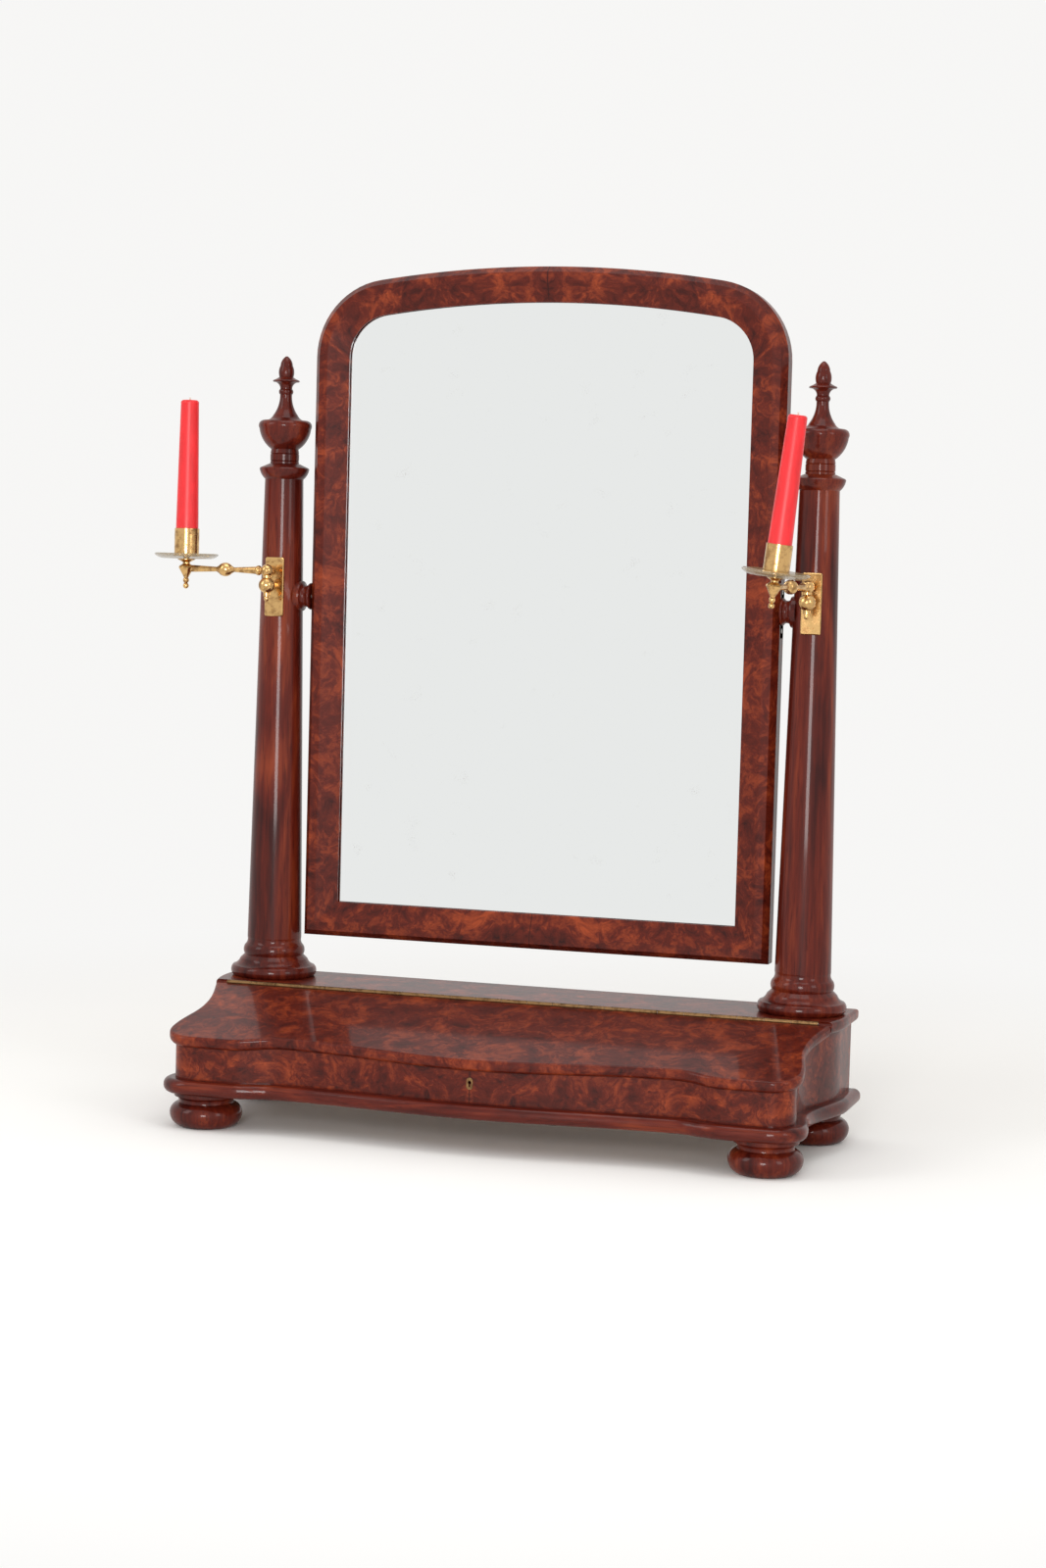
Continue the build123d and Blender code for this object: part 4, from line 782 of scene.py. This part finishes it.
def sweep_tree() -> ShapeTree:
    """Make the tree that carries a closed profile round a closed path of points.

    Each path point stores "inward", the way the profile's X points there, lengthened at mitres.
    """
    tree = ShapeTree("swept_moulding")
    profile = tree.profile()
    path_count, corner_count = tree.count(tree.given), tree.count(profile)
    columns = corner_count + 1
    grid = tree.node("GeometryNodeMeshGrid", {}, {"Vertices X": path_count + 1, "Vertices Y": columns})
    index = tree.number(tree.node("GeometryNodeInputIndex", {}, {}))
    row = (index / columns).floored().wrapped(path_count)
    corner = index.wrapped(columns).wrapped(corner_count)
    place = tree.node("GeometryNodeInputPosition", {}, {}).outputs[0]
    section = tree.node("ShaderNodeSeparateXYZ", {}, {0: tree.read(profile, place, corner)})
    inward = tree.read(tree.given, tree.attribute("inward", "FLOAT_VECTOR"), row)
    moved = tree.scaled(inward, tree.number(section, 0))
    ahead = tree.joined(y=tree.number(section, 2) * -1.0)
    ends = tree.added(tree.added(tree.read(tree.given, place, row), moved), ahead)
    shaped = tree.node("GeometryNodeSetPosition", {}, {"Geometry": grid.outputs[0], "Position": ends})
    sealed = tree.node("GeometryNodeMergeByDistance", {}, {"Geometry": shaped.outputs[0], "Distance": WELD})
    tree.close(sealed.outputs[0])
    return tree


def screw_tree() -> ShapeTree:
    """Make the tree that stands a slotted countersunk screw at every point.

    Each point stores "outward", the way its head faces, "head", the head's radius, and "reach", the
    screw's length.
    """
    tree = ShapeTree("slotted_screws")
    shank, slot, seed = tree.asked("Shank Share"), tree.asked("Slot Share"), tree.asked("Seed", "Int")
    depth = 1.0 - shank
    sizes = {"Vertices": HEAD_CUTS, "Radius Top": 1.0, "Radius Bottom": shank, "Depth": depth}
    cone = tree.node("GeometryNodeMeshCone", {}, sizes).outputs[0]
    down = {"Geometry": cone, "Translation": tree.joined(z=depth * -1.0)}
    sunk = tree.node("GeometryNodeTransform", {}, down).outputs[0]
    bar = tree.joined(x=SLOT_REACH, y=slot, z=depth)
    cutter = tree.node("GeometryNodeMeshCube", {}, {"Size": bar}).outputs[0]
    cut = {"Mesh 1": sunk, "Mesh 2": cutter}
    head = tree.node("GeometryNodeMeshBoolean", {"operation": "DIFFERENCE"}, cut).outputs[0]
    sizes = {"Vertices": SHANK_CUTS, "Radius": shank, "Depth": 1.0}
    rod = tree.node("GeometryNodeMeshCylinder", {}, sizes).outputs[0]
    root = {"Geometry": rod, "Translation": (0.0, 0.0, -0.5)}
    hung = tree.node("GeometryNodeTransform", {}, root).outputs[0]
    wide, long = tree.attribute("head", "FLOAT"), tree.attribute("reach", "FLOAT")
    outward = tree.attribute("outward", "FLOAT_VECTOR")
    upright = tree.node("FunctionNodeAlignRotationToVector", {"axis": "Z"}, {"Vector": outward}).outputs[0]
    chance = tree.node("FunctionNodeRandomValue", {"data_type": "FLOAT"}, {2: 0.0, 3: math.pi, 8: seed})
    spin = tree.node("FunctionNodeEulerToRotation", {}, {0: tree.joined(z=chance.outputs[1])}).outputs[0]
    both = {"Rotation": upright, "Rotate By": spin}
    stand = tree.node("FunctionNodeRotateRotation", {"rotation_space": "LOCAL"}, both).outputs[0]
    tucked = tree.scaled(outward, wide * depth * -1.0)
    lowered = tree.node("GeometryNodeSetPosition", {}, {"Geometry": tree.given, "Offset": tucked}).outputs[0]
    flat = tree.joined(x=wide, y=wide, z=wide)
    tall = tree.joined(x=wide, y=wide, z=long - wide * depth)
    heads = {"Points": tree.given, "Instance": head, "Rotation": stand, "Scale": flat}
    shanks = {"Points": lowered, "Instance": hung, "Rotation": stand, "Scale": tall}
    whole = tree.node("GeometryNodeJoinGeometry", {}, {})
    for inputs in (heads, shanks):
        grown = tree.node("GeometryNodeInstanceOnPoints", {}, inputs).outputs[0]
        tree.tree.links.new(grown, whole.inputs[0])
    tree.close(whole.outputs[0])
    return tree


def points_mesh(name: str, places: Sequence[Sequence[float]], **stored: Sequence[Any]) -> bpy.types.Mesh:
    """Make a mesh of loose points that carry values.

    Args:
        name: the mesh's name.
        places: where the points are.
        stored: for each stored value's name, its number or vector at every point.

    Returns:
        The mesh.
    """
    mesh = bpy.data.meshes.new(name)
    mesh.from_pydata([tuple(place) for place in places], [], [])
    for key, values in stored.items():
        numbers = numpy.array(values, dtype=float)
        vectors = numbers.ndim > 1
        attribute = mesh.attributes.new(key, "FLOAT_VECTOR" if vectors else "FLOAT", "POINT")
        attribute.data.foreach_set("vector" if vectors else "value", numbers.ravel())
    return mesh


def arc_points(start: Sequence[float], middle: Sequence[float], end: Sequence[float]) -> list[list[float]]:
    """Points along the arc through three places in a plane, without its start.

    Args:
        start: the arc's first place.
        middle: a place on it.
        end: its last place.

    Returns:
        The points, ARC_STEPS of them.
    """
    first, between, last = (complex(*place) for place in (start, middle, end))
    span = (last - first) / (between - first)
    centre = first - (between - first) * (abs(span) ** 2 - span) / (span - span.conjugate())
    arms = [place - centre for place in (first, between, last)]
    sweep = numpy.angle(arms[1] / arms[0]) + numpy.angle(arms[2] / arms[1])
    turns = [sweep * step / ARC_STEPS for step in range(1, ARC_STEPS + 1)]
    points = [centre + arms[0] * complex(math.cos(turn), math.sin(turn)) for turn in turns]
    return [[point.real, point.imag] for point in points]


def outline(*steps: Sequence[float]) -> list[list[float]]:
    """Radius and height along a turned profile, in millimetres.

    Args:
        steps: a radius and height for a straight line, or an arc's middle and end.

    Returns:
        The profile's points.
    """
    points = [list(steps[0])]
    for step in steps[1:]:
        points += [list(step)] if len(step) == 2 else arc_points(points[-1], step[:2], step[2:])
    return points


def loose_parts(node: bpy.types.Object) -> list[numpy.ndarray]:
    """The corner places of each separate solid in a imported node."""
    mesh = node.data
    corners = numpy.array([node.matrix_world @ vertex.co for vertex in mesh.vertices])
    places, names = numpy.unique(corners.round(6), axis=0, return_inverse=True)
    triangles = names.reshape(-1)[numpy.array([face.vertices[:] for face in mesh.polygons])]
    labels = numpy.arange(len(places))
    while True:
        before = labels.copy()
        lowest = labels[triangles].min(axis=1)
        for corner in range(3):
            numpy.minimum.at(labels, triangles[:, corner], lowest)
        if (labels == before).all():
            return [places[labels == label] for label in numpy.unique(labels)]


@dataclass(frozen=True)
class Axis:
    """The long axis of a turned solid."""

    start: Vector
    direction: Vector
    start_radius: float
    length: float

    @classmethod
    def of(cls, places: numpy.ndarray) -> "Axis":
        """Find the axis of a solid; it starts at the wider end."""
        centre = places.mean(axis=0)
        direction = numpy.linalg.svd(places - centre, full_matrices=False)[2][0]
        along = (places - centre) @ direction
        away = numpy.linalg.norm(places - centre - numpy.outer(along, direction), axis=1)
        if along[away.argmax()] > 0:
            direction, along = -direction, -along
        start = centre + direction * along.min()
        return cls(Vector(start), Vector(direction), float(away.max()), float(numpy.ptp(along)))


@dataclass
class Maker:
    """Makes the pieces whose shape comes from Geometry Nodes."""

    nodes: dict[str, bpy.types.Object]
    finishes: Finishes
    spread: float = 265.003
    depth: float = 73.5
    board_top: float = 123.0
    column_top: float = 502.0

    def make_all(self) -> None:
        """Make every piece."""
        turning, screws = turning_tree(), screw_tree()
        self._finials(turning)
        self._feet(turning)
        for side in Side:
            self._candle(turning, side)
        self._screws(screws)
        self._mirror_frame(sweep_tree())

    @staticmethod
    def settle(mesh: bpy.types.Mesh, body: Body, slot: str, *nodes: str, sharp: float = 0.6) -> None:
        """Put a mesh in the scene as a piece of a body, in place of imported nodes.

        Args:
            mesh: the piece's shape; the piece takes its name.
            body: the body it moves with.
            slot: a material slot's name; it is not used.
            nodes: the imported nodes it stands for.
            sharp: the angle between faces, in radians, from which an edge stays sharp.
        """
        mesh.shade_smooth()
        mesh.set_sharp_from_angle(angle=sharp)
        piece = bpy.data.objects.new(mesh.name, mesh)
        bpy.context.scene.collection.objects.link(piece)
        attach(piece, body.value)
        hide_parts(*nodes)
        LOG.info("made %s for %s", piece.name, ", ".join(nodes))

    @staticmethod
    def _profile(name: str, points: Sequence[Sequence[float]]) -> bpy.types.Object:
        """A helper object whose points are a profile, given in millimetres."""
        places = [(across * MM, 0.0, height * MM) for across, height in points]
        return bpy.data.objects.new(name, points_mesh(name, places))

    def _turned(
        self,
        tree: ShapeTree,
        name: str,
        points: Sequence[Sequence[float]],
        places: Sequence[Sequence[float]],
        finish: bpy.types.Material,
    ) -> bpy.types.Mesh:
        """Turn a profile at every place."""
        profile = self._profile(f"{name}_profile", points)
        seeds = points_mesh(f"{name}_places", places)
        grown = tree.grow(name, seeds, Cuts=TURNED_CUTS, Profile=profile, Finish=finish)
        bpy.data.objects.remove(profile)
        return grown

    def _finials(self, tree: ShapeTree) -> None:
        """The two finials: an urn on a neck with incised lines, a stem, a skirt and an acorn."""
        points = outline(
            (0.0, 0.0),
            (14.0, 0.0),
            (14.0, 2.0),
            (13.4, 2.6),
            (14.0, 3.2),
            (14.0, 9.0),
            (13.4, 9.6),
            (14.0, 10.2),
            (13.25, 14.0),
            (21.75, 23.5, 25.15, 34.0),
            (25.75, 38.0, 19.0, 42.0),
            (14.6, 43.8, 12.0, 47.0),
            (6.8, 58.0, 5.8, 67.0),
            (7.0, 70.0, 5.8, 72.5),
            (7.4, 77.0, 12.45, 79.2),
            (13.25, 80.0),
            (12.45, 81.0),
            (8.6, 82.8, 6.8, 84.0),
            (7.5, 88.0, 6.0, 95.0),
            (3.375, 101.8, 1.0, 104.0),
            (0.0, 104.0),
        )
        low = (self.board_top + self.column_top) * MM
        places = [(side.value * self.spread * MM, self.depth * MM, low) for side in Side]
        mesh = self._turned(tree, "finials", points, places, self.finishes.turned)
        self.settle(mesh, Body.BASE, "polished_wood", "finial_left", "finial_right")

    def _feet(self, tree: ShapeTree) -> None:
        """The four bun feet."""
        points = outline(
            (0.0, 0.0),
            (24.0, 0.0),
            (31.62, 5.6, 34.0, 14.0),
            (31.62, 19.4, 26.0, 23.0),
            (26.52, 27.0, 30.0, 29.0),
            (30.0, 33.0),
            (0.0, 33.0),
        )
        corners = {"front": (268.503, -85.5), "back": (278.003, 81.5)}
        places = [
            (side.value * across * MM, deep * MM, 0.0) for across, deep in corners.values() for side in Side
        ]
        mesh = self._turned(tree, "feet", points, places, self.finishes.turned)
        names = [f"foot_{end}_{side.word}" for end in corners for side in Side]
        self.settle(mesh, Body.BASE, "polished_wood", *names)

    def _candle(self, tree: ShapeTree, side: Side) -> None:
        """One tapered candle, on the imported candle's own leaning axis."""
        node = f"candle_{side.word}"
        axis = Axis.of(loose_parts(self.nodes[node])[0])
        high = axis.length / MM
        base = axis.start_radius / MM
        points = outline(
            (0.0, 0.0),
            (base, 0.0),
            (base, 27.0),
            (8.7, high - 3.4),
            (8.2, high - 1.0, 6.6, high),
            (3.4, high - 0.9, 0.0, high - 1.1),
        )
        mesh = self._turned(tree, f"wax_{side.word}", points, [(0.0, 0.0, 0.0)], self.finishes.wax)
        turn = axis.direction.to_track_quat("Z", "Y").to_matrix().to_4x4()
        mesh.transform(Matrix.Translation(axis.start) @ turn)
        body = Body.LEFT_ARM if side is Side.LEFT else Body.RIGHT_ARM
        self.settle(mesh, body, "red_wax", node)

    def _screws(self, tree: ShapeTree) -> None:
        """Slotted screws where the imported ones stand, each slot turned its own way."""
        made = self.finishes
        groups = (
            ("plate_screws", Body.BASE, "brass", made.brass),
            ("box_screws", Body.BASE, "brass", made.aged_brass),
            ("lid_screws", Body.LID, "brass", made.aged_brass),
            ("mirror_screws", Body.MIRROR, "steel", made.steel),
        )
        for seed, (node, body, slot, finish) in enumerate(groups):
            axes = [Axis.of(places) for places in loose_parts(self.nodes[node])]
            seeds = points_mesh(
                f"{node}_places",
                [axis.start for axis in axes],
                outward=[-axis.direction for axis in axes],
                head=[axis.start_radius for axis in axes],
                reach=[axis.length for axis in axes],
            )
            shares = {"Shank_Share": SHANK_SHARE, "Slot_Share": SLOT_SHARE}
            mesh = tree.grow(f"slotted_{node}", seeds, Seed=seed, Finish=finish, **shares)
            self.settle(mesh, body, slot, node)

    def _mirror_frame(self, tree: ShapeTree) -> None:
        """The mirror's moulded frame, its section carried round the arched outline."""
        half, bottom, top = 232.5, 43.0, 692.5
        shoulder, crown = 75.0, 1100.0
        crown_z, shoulder_x = top - crown, half - shoulder
        spring = crown_z + math.sqrt((crown - shoulder) ** 2 - shoulder_x**2)
        lean = math.asin(shoulder_x / (crown - shoulder))
        path = [((-half, bottom), (1.0, 1.0)), ((half, bottom), (-1.0, 1.0))]
        turns = [math.pi / 2 + (lean - math.pi / 2) * step / ARC_STEPS for step in range(ARC_STEPS + 1)]
        sways = [lean * (1.0 - step / ARC_STEPS) for step in range(1, ARC_STEPS + 1)]
        right = []
        for centre, radius, angles in (
            ((shoulder_x, spring), shoulder, turns),
            ((0.0, crown_z), crown, sways),
        ):
            for angle in angles:
                across, upward = math.sin(angle), math.cos(angle)
                place = (centre[0] + radius * across, centre[1] + radius * upward)
                right.append((place, (-across, -upward)))
        left = [((-place[0], place[1]), (-way[0], way[1])) for place, way in reversed(right[:-1])]
        path += right + left
        places = [
            (across * MM, self.depth * MM, (self.board_top + height) * MM) for (across, height), _ in path
        ]
        ways = [(across, 0.0, upward) for _, (across, upward) in path]
        section = ((0, -13), (0, 3.2), (5.5, 11), (13.5, 11), (33.5, 3), (33.5, 1), (26.5, 1), (26.5, -13))
        profile = self._profile("frame_section", section)
        seeds = points_mesh("frame_path", places, inward=ways)
        mesh = tree.grow("mirror_frame", seeds, Profile=profile, Finish=self.finishes.frame)
        bpy.data.objects.remove(profile)
        names = ("bottom_rail", "stile_left", "stile_right", "arch_left", "arch_right", "arch_crown")
        self.settle(mesh, Body.MIRROR, "polished_wood", *names, sharp=0.3)


def seen_by_eye(tree: NodeTree) -> Number:
    """Is 1 for what the camera sees straight, in a mirror or through glass, and 0 for plain light.

    Args:
        tree: the tree that asks.

    Returns:
        The answer for each ray.
    """
    path = tree.node("ShaderNodeLightPath", {}, {})
    kinds = ("Is Camera Ray", "Is Glossy Ray", "Is Transmission Ray")
    straight, mirrored, through = (tree.number(path, kind) for kind in kinds)
    return (straight + mirrored + through).clamped()


@dataclass
class Studio:
    """The pale floor, the soft lights and the camera at the photograph's angle."""

    floor_colour: Colour = (0.93, 0.925, 0.91)
    backdrop: Colour = (0.93, 0.925, 0.915)
    floor_near: float = 0.55
    floor_far: float = 1.5
    floor_half: float = 9.0
    ambient: float = 0.75
    camera_place: Point = (0.818114, -2.721636, 0.549302)
    yaw: float = 0.289221
    pitch: float = 0.0771078
    roll: float = 0.0276538
    lens_mm: float = 70.0
    sensor_mm: float = 36.0

    def build(self) -> None:
        """Make everything that isn't part of the object."""
        self._floor()
        self._world()
        self._lights()
        self._camera()

    def _floor(self) -> None:
        """A flat pale floor that keeps the object's shadow."""
        half = self.floor_half
        mesh = bpy.data.meshes.new("floor")
        corners = [(-half, -half, 0.0), (half, -half, 0.0), (half, half, 0.0), (-half, half, 0.0)]
        mesh.from_pydata(corners, [], [(0, 1, 2, 3)])
        tree = FinishTree("floor_paper")
        tree.set(Base_Color=self.floor_colour, Roughness=0.9, Specular_IOR_Level=0.1)
        distance = tree.node("ShaderNodeVectorMath", {"operation": "LENGTH"}, {0: tree.place()})
        away = tree.number(distance, "Value").ramp(self.floor_near, self.floor_far)
        glow = tree.node("ShaderNodeEmission", {}, {"Color": (*self.backdrop, 1.0)})
        blend = {0: away * seen_by_eye(tree), 1: tree.shader.outputs[0], 2: glow.outputs[0]}
        mixed = tree.node("ShaderNodeMixShader", {}, blend)
        tree.tree.links.new(mixed.outputs[0], tree.output.inputs[0])
        mesh.materials.append(tree.material)
        floor = bpy.data.objects.new("floor", mesh)
        bpy.context.scene.collection.objects.link(floor)

    def _world(self) -> None:
        """Soft even light, with a white background for what the camera and mirror see."""
        world = bpy.data.worlds.new("studio")
        bpy.context.scene.world = world
        world.use_nodes = True
        tree = NodeTree(world.node_tree)
        light = tree.node("ShaderNodeBackground", {}, {0: (1.0, 0.985, 0.96, 1.0), 1: self.ambient})
        seen = tree.node("ShaderNodeBackground", {}, {0: (*self.backdrop, 1.0), 1: 1.0})
        blend = {0: seen_by_eye(tree), 1: light.outputs[0], 2: seen.outputs[0]}
        mixer = tree.node("ShaderNodeMixShader", {}, blend)
        tree.node("ShaderNodeOutputWorld", {}, {0: mixer.outputs[0]})

    def _lights(self) -> None:
        """A soft key from the left, a window behind the camera, a fill from the right and a top light."""
        self._panel("key", (-2.2, -1.7, 1.9), (0.0, 0.0, 0.4), 1.0, 1.6, 16.0)
        self._panel("window", (0.55, -3.3, 0.72), (0.0, 0.0, 0.4), 0.85, 1.3, 54.0)
        self._panel("fill", (2.6, -1.6, 1.3), (0.0, 0.0, 0.4), 0.8, 1.4, 12.0)
        self._panel("top", (0.2, -0.4, 2.8), (0.0, 0.0, 0.3), 1.6, 1.6, 16.0)

    @staticmethod
    def _panel(name: str, place: Point, target: Point, width: float, height: float, watts: float) -> None:
        """Add one rectangular light that faces a point."""
        data = bpy.data.lights.new(name, "AREA")
        data.shape = "RECTANGLE"
        data.size = width
        data.size_y = height
        data.energy = watts
        lamp = bpy.data.objects.new(name, data)
        lamp.location = place
        lamp.rotation_euler = (Vector(target) - Vector(place)).to_track_quat("-Z", "Y").to_euler()
        bpy.context.scene.collection.objects.link(lamp)

    def _camera(self) -> None:
        """The camera, with the photograph's lens, place and turn."""
        yaw, pitch, roll = self.yaw, self.pitch, self.roll
        ahead = Vector(
            (-math.sin(yaw) * math.cos(pitch), math.cos(yaw) * math.cos(pitch), -math.sin(pitch))
        )
        level = Vector((math.cos(yaw), math.sin(yaw), 0.0))
        upward = level.cross(ahead)
        right = level * math.cos(roll) + upward * math.sin(roll)
        up = upward * math.cos(roll) - level * math.sin(roll)
        data = bpy.data.cameras.new("camera")
        data.sensor_fit = "VERTICAL"
        data.sensor_height = self.sensor_mm
        data.sensor_width = self.sensor_mm
        data.lens = self.lens_mm
        data.clip_start = 0.05
        data.clip_end = 60.0
        camera = bpy.data.objects.new("camera", data)
        turn = Matrix((right, up, -ahead)).transposed().to_4x4()
        camera.matrix_world = Matrix.Translation(self.camera_place) @ turn
        bpy.context.scene.collection.objects.link(camera)
        bpy.context.scene.camera = camera


def main() -> None:
    """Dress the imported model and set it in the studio."""
    logging.basicConfig(level=logging.INFO, format="%(name)s: %(message)s")
    bpy.context.scene.view_settings.view_transform = "Standard"
    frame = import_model()
    finishes = Finishes.make()
    Dresser(frame["nodes"], finishes).dress_all()
    Maker(frame["nodes"], finishes).make_all()
    Studio().build()


if __name__ == "__main__":
    main()
